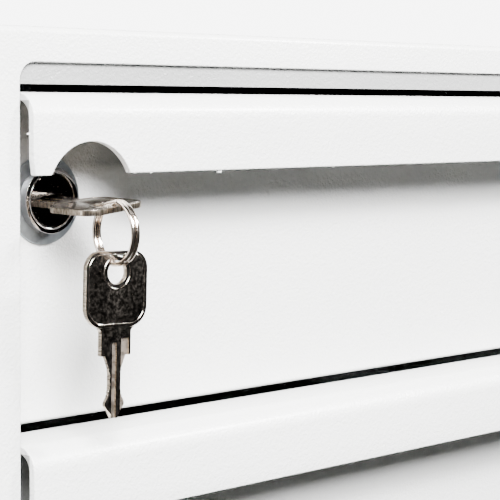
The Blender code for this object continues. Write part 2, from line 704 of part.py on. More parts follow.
def spare_place():
    """The spare key's shoulder stop, hanging from the lowest point of the ring."""
    lowest = ring_centre() - Vector((0, 0, RING_RADIUS))
    hole = WIRE_DIAMETER / 2 + KEY_PLAY - BOW_HOLE_RADIUS
    stop = Vector((0, 0, hole - BOW_SIZE + BOW_HOLE_INSET - SHOULDER_LENGTH))
    stop.rotate(Euler((0, SPARE_LEAN, -HANG_TWIST)))
    return lowest + stop


# Till insert

def tray_limits():
    """Low and high corners of the till tray in the upper drawer."""
    half = BODY_HALF - SHEET - TRAY_SIDE_GAP
    start = LIP_Y + BODY_START + SHEET + TRAY_FRONT_GAP
    end = LIP_Y + BODY_START + BODY_LENGTH - SHEET - TRAY_REAR_GAP
    low = UPPER_TOP - FRONT_HEIGHT + BODY_LIFT + SHEET + GAP
    return Vector((-half, start, low)), Vector((half, end, low + TRAY_HEIGHT))


def note_bays(low, high):
    """X limits of each note bay."""
    inner = high.x - low.x - 2 * TRAY_WALL
    width = (inner - (NOTE_BAYS - 1) * TRAY_WALL) / NOTE_BAYS
    starts = [low.x + TRAY_WALL + i * (width + TRAY_WALL) for i in range(NOTE_BAYS)]
    return [(start, start + width) for start in starts]


def rod_place(high):
    """Y and Z of the rod that the note clips turn on."""
    return high.y - TRAY_WALL - ROD_REAR_GAP, high.z - ROD_DROP


def till(drawer, clip_axes):
    """Till tray, coin tray, clip rod, note clips and their springs."""
    low, high = tray_limits()
    bay_y = low.y + 2 * TRAY_WALL + COIN_BAY_LENGTH
    tray = boxes((low, high))
    floor = low.z + TRAY_WALL
    over = high.z + TRAY_WALL
    hollows = [across(x0, x1, bay_y, high.y - TRAY_WALL, floor, over) for x0, x1 in note_bays(low, high)]
    boolean(tray, boxes(*hollows))
    coin_x = high.x - TRAY_WALL
    boolean(tray, boxes(across(-coin_x, coin_x, low.y + TRAY_WALL, bay_y - TRAY_WALL, floor, over)))
    rod_y, rod_z = rod_place(high)
    boolean(tray, rod(ROD_RADIUS + GAP, (low.x - TRAY_WALL, rod_y, rod_z), (high.x + TRAY_WALL, rod_y, rod_z),
                      TINY_STEPS))
    part(tray, "till_tray", BLACK_PLASTIC, drawer)

    bar = rod(ROD_RADIUS, (low.x + GAP, rod_y, rod_z), (high.x - GAP, rod_y, rod_z), TINY_STEPS)
    part(bar, "clip_rod", ZINC_STEEL, drawer)
    coin_tray(drawer, coin_x - 2 * GAP, low.y + TRAY_WALL + 2 * GAP, bay_y - TRAY_WALL - 2 * GAP, floor + GAP)
    for i, (x0, x1) in enumerate(note_bays(low, high)):
        place = ((x0 + x1) / 2, rod_y, rod_z)
        part(note_clip(place, floor), f"note_clip_{i + 1}", GREY_PLASTIC, clip_axes[i])
        part(clip_spring(place), f"clip_spring_{i + 1}", ZINC_STEEL, clip_axes[i])


def coin_tray(drawer, half, y0, y1, floor):
    """A lift-out moulding with scooped coin cups."""
    top = floor + COIN_HEIGHT
    tray = boxes(across(-half, half, y0, y1, floor, top))
    width = (2 * half - (COIN_COLUMNS + 1) * TRAY_WALL) / COIN_COLUMNS
    length = (y1 - y0 - (COIN_ROWS + 1) * TRAY_WALL) / COIN_ROWS
    scoop = min(length * COIN_SCOOP, COIN_HEIGHT - 2 * TRAY_WALL)
    for row in range(COIN_ROWS):
        start = y0 + TRAY_WALL + row * (length + TRAY_WALL)
        end = start + length
        low = floor + TRAY_WALL
        cup = (arc((start + scoop, low + scoop), scoop, 180, 270, 6)
               + arc((end - scoop, low + scoop), scoop, 270, 360, 6)
               + [(end, top + SHEET), (start, top + SHEET)])
        for column in range(COIN_COLUMNS):
            centre = -half + TRAY_WALL + width / 2 + column * (width + TRAY_WALL)
            boolean(tray, outline([cup], width, (centre, 0, 0), "X"))
    part(tray, "coin_tray", GREY_PLASTIC, drawer)


def note_clip(place, floor):
    """A sprung arm that presses on the notes."""
    drop = place[2] - floor - CLIP_THICK - CLIP_FLOOR_GAP
    slope = math.asin(drop / CLIP_LENGTH)
    half = CLIP_THICK / 2
    heading = 180 + math.degrees(slope)
    spread = math.degrees(math.asin(half / KNUCKLE_RADIUS))
    forward = Vector((-math.cos(slope), -math.sin(slope)))
    under = Vector((-forward.y, forward.x)) * half
    tip = forward * (CLIP_LENGTH - KNUCKLE_RADIUS)
    toe = tip + Vector(CLIP_TOE)
    lift = Vector((0, half))
    points = arc((0, 0), KNUCKLE_RADIUS, heading + spread, heading + 360 - spread, TINY_STEPS)
    points += [tuple(tip - under), tuple(toe + lift), tuple(toe - lift), tuple(tip + under)]
    bore = circle((0, 0), ROD_RADIUS + RUN_GAP, TINY_STEPS)
    return outline([points, bore], CLIP_WIDTH, place, "X")


def clip_spring(place):
    """The coil on the rod beside a clip."""
    x, y, z = place
    curve = bpy.data.curves.new("coil", "CURVE")
    curve.dimensions = "3D"
    curve.bevel_depth = SPRING_WIRE / 2
    curve.bevel_resolution = 1
    curve.use_fill_caps = True
    radius = ROD_RADIUS + GAP + SPRING_WIRE
    spline = curve.splines.new("POLY")
    spline.points.add(SPRING_TURNS * COIL_STEPS)
    start = x + CLIP_WIDTH / 2 + SPRING_WIRE
    for i, point in enumerate(spline.points):
        turn = 2 * math.pi * i / COIL_STEPS
        along = start + SPRING_PITCH * i / COIL_STEPS
        point.co = (along, y + radius * math.cos(turn), z + radius * math.sin(turn), 1)
    return solid_from_curve(curve, Matrix.Identity(4))


def divider(drawer):
    """A folded steel divider across the lower drawer."""
    low = LOWER_TOP - FRONT_HEIGHT + BODY_LIFT + SHEET + GAP
    y = LIP_Y + BODY_START + BODY_LENGTH / 2
    top = low + BODY_HEIGHT * DIVIDER_SHARE
    points = [(y, low), (y + DIVIDER_FOOT, low), (y + DIVIDER_FOOT, low + SHEET), (y + SHEET, low + SHEET),
              (y + SHEET, top), (y, top)]
    part(outline([points], 2 * (BODY_HALF - SHEET - GAP), (0, 0, 0), "X"), "lower_divider", ZINC_STEEL, drawer)


def main():
    """Build the whole unit under its joint empties."""
    clear_scene()
    low, high = tray_limits()
    rod_y, rod_z = rod_place(high)
    upper = pivot("upper_drawer_axis", (0, LIP_Y, UPPER_TOP))
    lower = pivot("lower_drawer_axis", (0, LIP_Y, LOWER_TOP))
    upper_cages = pivot("upper_cage_axis", (0, LIP_Y, UPPER_TOP))
    lower_cages = pivot("lower_cage_axis", (0, LIP_Y, LOWER_TOP))
    plug_axis = pivot("lock_axis", (LOCK_X, LIP_Y, LOCK_Z))
    key_axis = pivot("key_axis", (LOCK_X, LIP_Y + KEY_STOP, LOCK_Z))
    ring_axis = pivot("ring_axis", bridge_place())
    spare_axis = pivot("spare_axis", ring_centre() - Vector((0, 0, RING_RADIUS)))
    clip_axes = [pivot(f"clip_axis_{i + 1}", ((x0 + x1) / 2, rod_y, rod_z))
                 for i, (x0, x1) in enumerate(note_bays(low, high))]
    casing()
    for label, top, drawer, cages, locked in (("upper", UPPER_TOP, upper, upper_cages, True),
                                              ("lower", LOWER_TOP, lower, lower_cages, False)):
        drawer_front(f"{label}_drawer_front", top, drawer, locked)
        drawer_body(f"{label}_drawer_body", top, drawer, locked)
        runner_set(label, top, drawer, cages)
    lock_fixed(upper)
    lock_turning(plug_axis)
    keys(key_axis, ring_axis, spare_axis)
    till(upper, clip_axes)
    divider(lower)


main()
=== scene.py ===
"""Looks of a two-drawer steel cash unit with a cam lock, keys on a split ring and a till insert.

Every class below is one sub-assembly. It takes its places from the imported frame, builds its meshes with
bmesh operators, dresses them in procedural finishes and lets them ride on the frame's bodies.
"""

from __future__ import annotations

import json
import logging
import math
from dataclasses import dataclass, field
from enum import Enum
from typing import Callable, Iterable, Sequence

import bmesh
import bpy
from mathutils import Matrix, Vector

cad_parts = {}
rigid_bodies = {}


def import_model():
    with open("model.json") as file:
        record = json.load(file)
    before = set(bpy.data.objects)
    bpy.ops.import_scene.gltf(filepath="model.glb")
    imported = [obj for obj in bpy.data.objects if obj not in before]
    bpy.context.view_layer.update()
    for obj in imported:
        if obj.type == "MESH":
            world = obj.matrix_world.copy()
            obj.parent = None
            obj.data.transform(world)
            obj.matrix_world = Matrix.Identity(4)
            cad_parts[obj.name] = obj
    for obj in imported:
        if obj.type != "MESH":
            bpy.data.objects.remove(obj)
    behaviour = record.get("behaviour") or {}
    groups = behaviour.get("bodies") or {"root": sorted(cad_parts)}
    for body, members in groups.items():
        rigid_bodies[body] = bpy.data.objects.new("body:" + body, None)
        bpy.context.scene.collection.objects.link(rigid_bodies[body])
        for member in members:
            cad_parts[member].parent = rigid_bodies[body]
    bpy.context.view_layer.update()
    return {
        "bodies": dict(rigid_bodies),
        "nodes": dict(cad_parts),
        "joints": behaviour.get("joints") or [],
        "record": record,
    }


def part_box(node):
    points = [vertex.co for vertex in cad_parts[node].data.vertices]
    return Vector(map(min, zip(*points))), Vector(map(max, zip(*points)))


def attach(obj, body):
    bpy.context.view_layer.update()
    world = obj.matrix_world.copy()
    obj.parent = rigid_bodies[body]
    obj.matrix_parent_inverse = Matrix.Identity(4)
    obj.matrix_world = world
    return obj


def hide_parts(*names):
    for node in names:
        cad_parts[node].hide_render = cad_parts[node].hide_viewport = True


LOG = logging.getLogger("cash_unit")
MERGE = 1e-6
NEAR = 1e-5
FACE_ANGLE = math.radians(32)
BORE_PLAY = 0.0003
UP = Vector((0, 0, 1))
RIGHTWARDS = Vector((1, 0, 0))
Socket = bpy.types.NodeSocket
Colour = tuple[float, float, float]


class Side(Enum):
    """The two sides of the unit, seen from the front."""

    LEFT = -1
    RIGHT = 1

    @property
    def word(self) -> str:
        """The side's word in node names."""
        return self.name.lower()


class Axis(Enum):
    """The direction that an outline is pushed along, with the world axes of its two flat directions."""

    X = (Vector((0, 1, 0)), Vector((0, 0, 1)), Vector((1, 0, 0)))
    Y = (Vector((1, 0, 0)), Vector((0, 0, 1)), Vector((0, 1, 0)))
    Z = (Vector((1, 0, 0)), Vector((0, 1, 0)), Vector((0, 0, 1)))

    def point(self, u: float, v: float, w: float) -> Vector:
        """The world point of flat coordinates u and v at height w along the axis."""
        return self.value[0] * u + self.value[1] * v + self.value[2] * w


# Shader maths


class Value:
    """A number or colour on its way through a shader, which takes part in sums."""

    def __init__(self, graph: "Graph", socket: Socket) -> None:
        """Keep the graph and the socket that carries the value."""
        self.graph = graph
        self.socket = socket

    def _maths(self, operation: str, first: "Value | float", second: "Value | float") -> "Value":
        """Add one Math node.

        Args:
            operation: The node's operation.
            first: Its first number.
            second: Its second number.

        Returns:
            The node's result.
        """
        return self.graph.node("ShaderNodeMath", {"operation": operation}, {0: first, 1: second})

    def __add__(self, other: "Value | float") -> "Value":
        """self + other."""
        return self._maths("ADD", self, other)

    __radd__ = __add__

    def __sub__(self, other: "Value | float") -> "Value":
        """self - other."""
        return self._maths("SUBTRACT", self, other)

    def __rsub__(self, other: float) -> "Value":
        """other - self."""
        return self._maths("SUBTRACT", other, self)

    def __mul__(self, other: "Value | float") -> "Value":
        """self * other."""
        return self._maths("MULTIPLY", self, other)

    __rmul__ = __mul__

    def spread(self, low: float, high: float) -> "Value":
        """Stretch the stretch from low to high over 0 to 1, smoothly and clamped.

        Args:
            low: What becomes 0.
            high: What becomes 1.

        Returns:
            The stretched value.
        """
        return self.graph.node("ShaderNodeMapRange", {"interpolation_type": "SMOOTHSTEP"},
                               {"Value": self, "From Min": low, "From Max": high})


class Graph:
    """A material's node tree under construction."""

    def __init__(self, name: str) -> None:
        """Start an empty material."""
        self.material = bpy.data.materials.new(name)
        self.material.use_nodes = True
        self.tree = self.material.node_tree
        self.tree.nodes.clear()

    def node(self, kind: str, settings: dict | None = None, inputs: dict | None = None,
             output: int | str = 0) -> Value | None:
        """Add a node.

        Args:
            kind: The node's type.
            settings: Attributes set before its sockets.
            inputs: Socket names or numbers with values or links.
            output: The output wanted.

        Returns:
            That output, or None when the node has no outputs.
        """
        node = self.tree.nodes.new(kind)
        for key, value in (settings or {}).items():
            setattr(node, key, value)
        for key, value in (inputs or {}).items():
            if isinstance(value, Value):
                self.tree.links.new(value.socket, node.inputs[key])
            else:
                node.inputs[key].default_value = value
        return Value(self, node.outputs[output]) if len(node.outputs) else None

    def place(self, stretch: Sequence[float] = (1, 1, 1)) -> Value:
        """Object coordinates, stretched along each axis."""
        coordinates = self.node("ShaderNodeTexCoord", output="Object")
        return self.node("ShaderNodeMapping", inputs={"Vector": coordinates, "Scale": stretch})

    def noise(self, size: float, detail: float = 2.0, rough: float = 0.5,
              stretch: Sequence[float] = (1, 1, 1)) -> Value:
        """Noise whose features are about one size, in metres."""
        inputs = {"Vector": self.place(stretch), "Scale": 1 / size, "Detail": detail, "Roughness": rough}
        return self.node("ShaderNodeTexNoise", inputs=inputs)

    def cells(self, size: float, feature: str = "F1") -> Value:
        """Distance in a field of cells whose size is given in metres."""
        return self.node("ShaderNodeTexVoronoi", {"feature": feature},
                         {"Vector": self.place(), "Scale": 1 / size})

    def blend(self, share: Value, first: Colour | Value, second: Colour | Value) -> Value:
        """Mix two colours by a share."""
        start = first if isinstance(first, Value) else (*first, 1.0)
        end = second if isinstance(second, Value) else (*second, 1.0)
        return self.node("ShaderNodeMix", {"data_type": "RGBA"}, {0: share, 6: start, 7: end}, 2)

    def relief(self, height: Value, depth: float) -> Value:
        """Turn a height from 0 to 1 into a bump that is depth metres high."""
        return self.node("ShaderNodeBump", inputs={"Height": height, "Distance": depth, "Strength": 1.0})

    def finish(self, inputs: dict) -> bpy.types.Material:
        """Close the graph with a Principled shader.

        Args:
            inputs: The shader's sockets.

        Returns:
            The material.
        """
        shader = self.node("ShaderNodeBsdfPrincipled", inputs=inputs)
        self.node("ShaderNodeOutputMaterial", inputs={"Surface": shader})
        return self.material


# Finishes


@dataclass(frozen=True)
class PowderCoat:
    """Baked powder paint: fine orange peel, a little colour drift and rare specks of dust."""

    colour: Colour = (0.69, 0.69, 0.68)
    shade: Colour = (0.665, 0.67, 0.66)
    peel: float = 0.0013
    peel_depth: float = 0.00036
    gloss: float = 0.36
    specks: float = 0.10

    def material(self, name: str) -> bpy.types.Material:
        """Build the paint."""
        graph = Graph(name)
        grain = graph.noise(self.peel * 2.4, 2)
        orange = graph.noise(self.peel, 2, 0.45)
        fine = graph.cells(self.peel * 0.5, "SMOOTH_F1")
        normal = graph.relief(orange * 0.7 + fine * 0.3, self.peel_depth)
        rough = graph.noise(0.02, 2) * 0.10 + grain * 0.06 + self.gloss - 0.08
        return graph.finish({"Base Color": self._tint(graph), "Roughness": rough, "Normal": normal,
                             "IOR": 1.5, "Coat Weight": 0.12, "Coat Roughness": 0.18})

    def _tint(self, graph: Graph) -> Value:
        """The paint's colour with its drift and dust."""
        tint = graph.blend(graph.noise(0.09, 3).spread(0.35, 0.7), self.colour, self.shade)
        speck = (1 - graph.cells(0.013).spread(0.012, 0.028)) * graph.noise(0.03, 1).spread(0.56, 0.62)
        return graph.blend(speck * self.specks * 8, tint, (0.16, 0.15, 0.14))


@dataclass(frozen=True)
class HoodCoat(PowderCoat):
    """Powder paint with painted shade: grey inside the hood, behind the lip, where the lip's shadow falls.
    """

    # The grey of the painted shade inside the hood.
    thin: Colour = (0.25, 0.25, 0.245)
    face: float = 0.0
    edge: float = 0.0
    roof: float = 0.0

    def _tint(self, graph: Graph) -> Value:
        """The paint's colour, with painted shade: greyer behind the lip, inside the hood."""
        place = graph.place()
        depth = graph.node("ShaderNodeSeparateXYZ", inputs={"Vector": place}, output="Y") - self.face
        height = graph.node("ShaderNodeSeparateXYZ", inputs={"Vector": place}, output="Z") - self.edge
        under = 1 - height.spread(self.roof - 0.0001, self.roof + 0.0001)
        # Painted shade: the mask of the hood's inside, behind the lip and under its roof.
        inside = depth.spread(0.00235, 0.0025) * height.spread(-0.002, 0.003) * under
        return graph.blend(inside, super()._tint(graph), self.thin)


@dataclass(frozen=True)
class ZincPlate:
    """Passivated zinc on steel: bluish grey, satin, with faint rolling lines and a spangle."""

    colour: Colour = (0.50, 0.54, 0.58)
    shade: Colour = (0.36, 0.39, 0.43)
    rough: float = 0.36
    lines: tuple[float, float, float] = (1, 0.08, 1)

    def material(self, name: str) -> bpy.types.Material:
        """Build the plate."""
        graph = Graph(name)
        cloud = graph.noise(0.012, 3)
        spangle = graph.cells(0.0022)
        tint = graph.blend((cloud * 0.7 + spangle * 0.5).spread(0.3, 0.8), self.colour, self.shade)
        roll = graph.noise(0.0006, 2, 0.5, self.lines)
        rough = cloud * 0.16 + roll * 0.10 + self.rough - 0.12
        normal = graph.relief(roll, 0.000008)
        return graph.finish({"Base Color": tint, "Metallic": 1.0, "Roughness": rough, "Normal": normal})


@dataclass(frozen=True)
class BrightChrome:
    """Mirror chrome with a breath of dust and fine wipe marks."""

    colour: Colour = (0.58, 0.55, 0.54)
    rough: float = 0.05

    def material(self, name: str) -> bpy.types.Material:
        """Build the plate."""
        graph = Graph(name)
        film = graph.noise(0.004, 4)
        dust = 1 - graph.cells(0.0009).spread(0.05, 0.12)
        mark = dust * graph.noise(0.003, 1).spread(0.52, 0.60)
        tint = graph.blend(mark * 0.5, self.colour, (0.7, 0.69, 0.67))
        rough = film.spread(0.45, 0.75) * 0.05 + mark * 0.4 + self.rough
        normal = graph.relief(graph.noise(0.0035, 2), 0.000012)
        return graph.finish({"Base Color": tint, "Metallic": 1.0, "Roughness": rough, "Normal": normal})


@dataclass(frozen=True)
class HandledNickel:
    """Nickel-plated key stock, blotched by handling and finely pitted."""

    bright: Colour = (0.66, 0.59, 0.52)
    dull: Colour = (0.46, 0.41, 0.36)
    rough: float = 0.10
    haze: float = 0.14
    blotch: float = 0.0011
    pit_depth: float = 0.000022

    def material(self, name: str) -> bpy.types.Material:
        """Build the plate."""
        graph = Graph(name)
        blotch = graph.noise(self.blotch, 4, 0.62)
        grain = graph.noise(0.00022, 3, 0.6)
        film = (blotch * 0.6 + grain * 0.4).spread(0.42, 0.62)
        tint = graph.blend(film, self.bright, self.dull)
        pit = graph.cells(0.00035)
        rough = film * self.haze + self.rough
        normal = graph.relief(grain * 0.6 + pit * 0.4, self.pit_depth)
        return graph.finish({"Base Color": tint, "Metallic": 1.0, "Roughness": rough, "Normal": normal})


@dataclass(frozen=True)
class ShearedEdge:
    """The sheared rim of nickel-plated sheet, with lines across its thickness."""

    along: Axis = Axis.Y
    bright: Colour = (0.52, 0.44, 0.35)
    dull: Colour = (0.14, 0.115, 0.09)
    line: float = 0.00022
    rough: float = 0.24

    def material(self, name: str) -> bpy.types.Material:
        """Build the plate."""
        graph = Graph(name)
        stretch = Vector((1, 1, 1)) - self.along.value[2] * 0.94
        lines = graph.noise(self.line, 2, 0.5, stretch)
        stain = (lines * 0.8 + graph.noise(0.0012, 3) * 0.2).spread(0.40, 0.62)
        tint = graph.blend(stain, self.bright, self.dull)
        return graph.finish({"Base Color": tint, "Metallic": 1.0, "Roughness": lines * 0.12 + self.rough,
                             "Normal": graph.relief(lines, 0.000012)})


@dataclass(frozen=True)
class MilledGroove:
    """Bright metal that a cutter has laid bare."""

    colour: Colour = (0.60, 0.52, 0.44)
    shade: Colour = (0.22, 0.19, 0.16)
    rough: float = 0.36

    def material(self, name: str) -> bpy.types.Material:
        """Build the metal."""
        graph = Graph(name)
        wear = graph.noise(0.003, 4, 0.6)
        tint = graph.blend(wear.spread(0.42, 0.60), self.colour, self.shade)
        return graph.finish({"Base Color": tint, "Metallic": 1.0, "Roughness": wear * 0.15 + self.rough,
                             "Normal": graph.relief(graph.noise(0.00025, 2), 0.000012)})


@dataclass(frozen=True)
class PolishedWire:
    """Polished nickel wire."""

    colour: Colour = (0.74, 0.65, 0.57)
    rough: float = 0.13

    def material(self, name: str) -> bpy.types.Material:
        """Build the plate."""
        graph = Graph(name)
        film = graph.noise(0.0012, 3)
        tint = graph.blend(film.spread(0.5, 0.75), self.colour, (0.56, 0.47, 0.40))
        scuff = graph.noise(0.0003, 3, 0.6)
        rough = film * 0.10 + self.rough - 0.04
        return graph.finish({"Base Color": tint, "Metallic": 1.0, "Roughness": rough,
                             "Normal": graph.relief(scuff, 0.000005)})


@dataclass(frozen=True)
class BrassStrip:
    """Plain rolled brass with a light oil film."""

    colour: Colour = (0.62, 0.44, 0.20)

    def material(self, name: str) -> bpy.types.Material:
        """Build the metal."""
        graph = Graph(name)
        film = graph.noise(0.006, 3)
        tint = graph.blend(film.spread(0.4, 0.7), self.colour, (0.42, 0.30, 0.15))
        return graph.finish({"Base Color": tint, "Metallic": 1.0, "Roughness": film * 0.2 + 0.18,
                             "Normal": graph.relief(graph.noise(0.0005, 2, 0.5, (1, 0.1, 1)), 0.000006)})


@dataclass(frozen=True)
class MouldedPlastic:
    """Spark-eroded ABS: an even, fine grain that is rubbed smooth in places."""

    colour: Colour = (0.022, 0.022, 0.024)
    rubbed: Colour = (0.034, 0.034, 0.036)
    rough: float = 0.46

    def material(self, name: str) -> bpy.types.Material:
        """Build the plastic."""
        graph = Graph(name)
        wear = graph.noise(0.035, 4)
        tint = graph.blend(wear.spread(0.5, 0.75), self.colour, self.rubbed)
        grain = graph.cells(0.0007, "SMOOTH_F1")
        dust = graph.noise(0.0004, 2)
        rough = self.rough + 0.06 - wear * 0.16 + dust * 0.06
        return graph.finish({"Base Color": tint, "Roughness": rough,
                             "Normal": graph.relief(grain * 0.7 + dust * 0.3, 0.000035)})


@dataclass(frozen=True)
class MouldedRubber:
    """Matt black rubber with a chalky bloom."""

    def material(self, name: str) -> bpy.types.Material:
        """Build the rubber."""
        graph = Graph(name)
        bloom = graph.noise(0.005, 4)
        tint = graph.blend(bloom.spread(0.45, 0.8), (0.016, 0.016, 0.016), (0.06, 0.058, 0.055))
        return graph.finish({"Base Color": tint, "Roughness": bloom * 0.2 + 0.66,
                             "Normal": graph.relief(graph.noise(0.0006, 3), 0.00004)})


@dataclass(frozen=True)
class Backdrop:
    """A pale, matt studio surface."""

    colour: Colour = (0.82, 0.82, 0.82)

    def material(self, name: str) -> bpy.types.Material:
        """Build the surface."""
        graph = Graph(name)
        tint = graph.blend(graph.noise(0.4, 2), self.colour, tuple(c * 0.98 for c in self.colour))
        return graph.finish({"Base Color": tint, "Roughness": 0.75})


@dataclass(frozen=True)
class Velvet:
    """Black studio velvet, which gives nothing back."""

    nap: float = 0.002

    def material(self, name: str) -> bpy.types.Material:
        """Build the cloth."""
        graph = Graph(name)
        tint = graph.blend(graph.noise(self.nap, 2), (0.0004, 0.0004, 0.0004), (0.001, 0.001, 0.001))
        return graph.finish({"Base Color": tint, "Roughness": 1.0, "Specular IOR Level": 0.0})


WHITE_PAINT = PowderCoat()
# Dark grey paint for the set-back top rail: painted shade from the shell's top edge above it.
RAIL_SHADE_PAINT = PowderCoat(colour=(0.27, 0.272, 0.27), shade=(0.25, 0.252, 0.25), specks=0.0)
INNER_PAINT = PowderCoat(colour=(0.58, 0.59, 0.59), shade=(0.55, 0.56, 0.56), gloss=0.42, specks=0.02)
ZINC = ZincPlate()
ROSETTE_ZINC = ZincPlate(colour=(0.42, 0.45, 0.475), shade=(0.32, 0.35, 0.375), rough=0.44, lines=(1, 1, 1))
CHROME = BrightChrome()
NICKEL = HandledNickel()
WIRE = PolishedWire()
BRASS = BrassStrip()
BALL_STEEL = BrightChrome(colour=(0.7, 0.7, 0.71), rough=0.06)
BLACK_ABS = MouldedPlastic()
GREY_ABS = MouldedPlastic(colour=(0.115, 0.12, 0.125), rubbed=(0.15, 0.155, 0.16), rough=0.42)
RUBBER = MouldedRubber()


# Mesh tools


def extrude_outline(points: Iterable[Sequence[float]], axis: Axis, start: float,
                    end: float) -> bmesh.types.BMesh:
    """Push a flat outline along an axis.

    Args:
        points: The outline's corners, in the axis's flat directions.
        axis: The direction to push along.
        start: Where it starts on the axis.
        end: Where it ends.

    Returns:
        A closed bmesh.
    """
    shape = bmesh.new()
    corners = [shape.verts.new(axis.point(u, v, start)) for u, v in points]
    face = shape.faces.new(corners)
    grown = bmesh.ops.extrude_face_region(shape, geom=[face])
    moved = [item for item in grown["geom"] if isinstance(item, bmesh.types.BMVert)]
    bmesh.ops.translate(shape, verts=moved, vec=axis.value[2] * (end - start))
    bmesh.ops.recalc_face_normals(shape, faces=shape.faces)
    return shape


def block(low: Sequence[float], high: Sequence[float]) -> bmesh.types.BMesh:
    """A box between two corners.

    Args:
        low: The lowest corner.
        high: The highest corner.

    Returns:
        A closed bmesh.
    """
    shape = bmesh.new()
    low, high = Vector(low), Vector(high)
    place = Matrix.Translation((low + high) / 2) @ Matrix.Diagonal((*(high - low), 1))
    bmesh.ops.create_cube(shape, size=1, matrix=place)
    return shape


def round_edges(shape: bmesh.types.BMesh, chosen: Callable[[bmesh.types.BMEdge], bool], radius: float,
                segments: int) -> None:
    """Round the chosen edges of a bmesh.

    Args:
        shape: The bmesh.
        chosen: Says which edges are rounded.
        radius: How far the rounding reaches from the edge.
        segments: How many faces the rounding gets.
    """
    edges = [edge for edge in shape.edges if chosen(edge)]
    bmesh.ops.bevel(shape, geom=edges, offset=radius, segments=segments, profile=0.5, affect="EDGES",
                    material=-1, clamp_overlap=True)


def along(axis: Axis, u: float, v: float) -> Callable[[bmesh.types.BMEdge], bool]:
    """A test for the edge that runs along an axis through one flat place.

    Args:
        axis: The edge's direction.
        u: Its place in the first flat direction.
        v: Its place in the second.

    Returns:
        The test.
    """

    def test(edge: bmesh.types.BMEdge) -> bool:
        """Whether both ends lie at that place."""
        return all(abs(end.co.dot(axis.value[0]) - u) < NEAR and abs(end.co.dot(axis.value[1]) - v) < NEAR
                   for end in edge.verts)

    return test


def runs_along(direction: Vector) -> Callable[[bmesh.types.BMEdge], bool]:
    """A test for edges that run in one direction."""
    return lambda edge: abs((edge.verts[1].co - edge.verts[0].co).normalized().dot(direction)) > 0.999


def spin_profile(profile: Iterable[Sequence[float]], centre: Sequence[float], direction: Vector,
                 steps: int = 96, closed: bool = False) -> bmesh.types.BMesh:
    """Turn a profile about an axis.

    Args:
        profile: (radius, height) points, the height being measured along the direction.
        centre: A point on the axis.
        direction: The axis.
        steps: How many steps one turn takes.
        closed: Whether the profile is a loop, as on a ring.

    Returns:
        A closed bmesh.
    """
    shape = bmesh.new()
    aside = direction.orthogonal().normalized()
    centre = Vector(centre)
    ring = [shape.verts.new(centre + aside * radius + direction * height) for radius, height in profile]
    pairs = list(zip(ring, ring[1:])) + ([(ring[-1], ring[0])] if closed else [])
    edges = [shape.edges.new(pair) for pair in pairs]
    bmesh.ops.spin(shape, geom=ring + edges, cent=centre, axis=direction, angle=math.tau, steps=steps,
                   use_merge=True)
    bmesh.ops.remove_doubles(shape, verts=shape.verts, dist=MERGE)
    bmesh.ops.recalc_face_normals(shape, faces=shape.faces)
    return shape


def arc(centre: Sequence[float], radius: float, start: float, end: float, steps: int = 8) -> list[tuple]:
    """Points on an arc, with angles in degrees."""
    turns = [math.radians(start + (end - start) * i / steps) for i in range(steps + 1)]
    return [(centre[0] + radius * math.cos(t), centre[1] + radius * math.sin(t)) for t in turns]


def rounded_block(low: Sequence[float], high: Sequence[float], radius: float, direction: Vector,
                  segments: int = 6) -> bmesh.types.BMesh:
    """A box whose four edges along one direction are round."""
    shape = block(low, high)
    round_edges(shape, runs_along(direction), radius, segments)
    return shape


def piece_from(shape: bmesh.types.BMesh, name: str, finish: object = None) -> bpy.types.Object:
    """Make an object of a bmesh, with smooth faces and its finish.

    Args:
        shape: The bmesh, which is freed.
        name: The piece's name.
        finish: The finish that dresses it.

    Returns:
        The object, at the origin.
    """
    mesh = bpy.data.meshes.new(name)
    shape.to_mesh(mesh)
    shape.free()
    mesh.shade_smooth()
    mesh.set_sharp_from_angle(angle=FACE_ANGLE)
    piece = bpy.data.objects.new(name, mesh)
    bpy.context.scene.collection.objects.link(piece)
    if finish is not None:
        mesh.materials.append(finish.material(name))
    return piece


def combine(piece: bpy.types.Object, tool: bmesh.types.BMesh, operation: str = "DIFFERENCE") -> None:
    """Cut a tool out of a piece, or join it to the piece, for good.

    Args:
        piece: The piece that changes.
        tool: A closed bmesh.
        operation: DIFFERENCE or UNION.
    """
    helper = piece_from(tool, "tool")
    change = piece.modifiers.new("change", "BOOLEAN")
    change.object = helper
    change.operation = operation
    change.solver = "EXACT"
    settle(piece)
    bpy.data.objects.remove(helper, do_unlink=True)


def settle(piece: bpy.types.Object) -> None:
    """Apply every modifier of a piece to its mesh."""
    bpy.context.view_layer.update()
    graph = bpy.context.evaluated_depsgraph_get()
    mesh = bpy.data.meshes.new_from_object(piece.evaluated_get(graph))
    piece.modifiers.clear()
    old = piece.data
    piece.data = mesh
    bpy.data.meshes.remove(old)
    mesh.name = piece.name
    mesh.shade_smooth()
    mesh.set_sharp_from_angle(angle=FACE_ANGLE)


def ease(piece: bpy.types.Object, width: float, segments: int = 3, angle: float = 35) -> None:
    """Round every sharp edge of a piece a little.

    Args:
        piece: The piece.
        width: The rounding's size.
        segments: Its faces.
        angle: How sharp an edge has to be, in degrees.
    """
    change = piece.modifiers.new("ease", "BEVEL")
    change.width = width
    change.segments = segments
    change.limit_method = "ANGLE"
    change.angle_limit = math.radians(angle)
    change.harden_normals = False
    change.use_clamp_overlap = True
    change.miter_outer = "MITER_ARC"


def sheet_from(piece: bpy.types.Object, thickness: float) -> None:
    """Give an open surface its sheet thickness, on the inside."""
    change = piece.modifiers.new("sheet", "SOLIDIFY")
    change.thickness = thickness
    change.offset = -1
    change.use_even_offset = True
    settle(piece)


def install(piece: bpy.types.Object, body: str, slot: str, *nodes: str) -> bpy.types.Object:
    """Let a piece ride on a body and stand for CAD nodes.

    Args:
        piece: The piece.
        body: The body that carries it.
        slot: The record's material slot; not used.
        nodes: The CAD nodes that it stands for.

    Returns:
        The piece.
    """
    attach(piece, body)
    if nodes:
        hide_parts(*nodes)
    LOG.info("%s rides on %s", piece.name, body)
    return piece


# Sub-assemblies


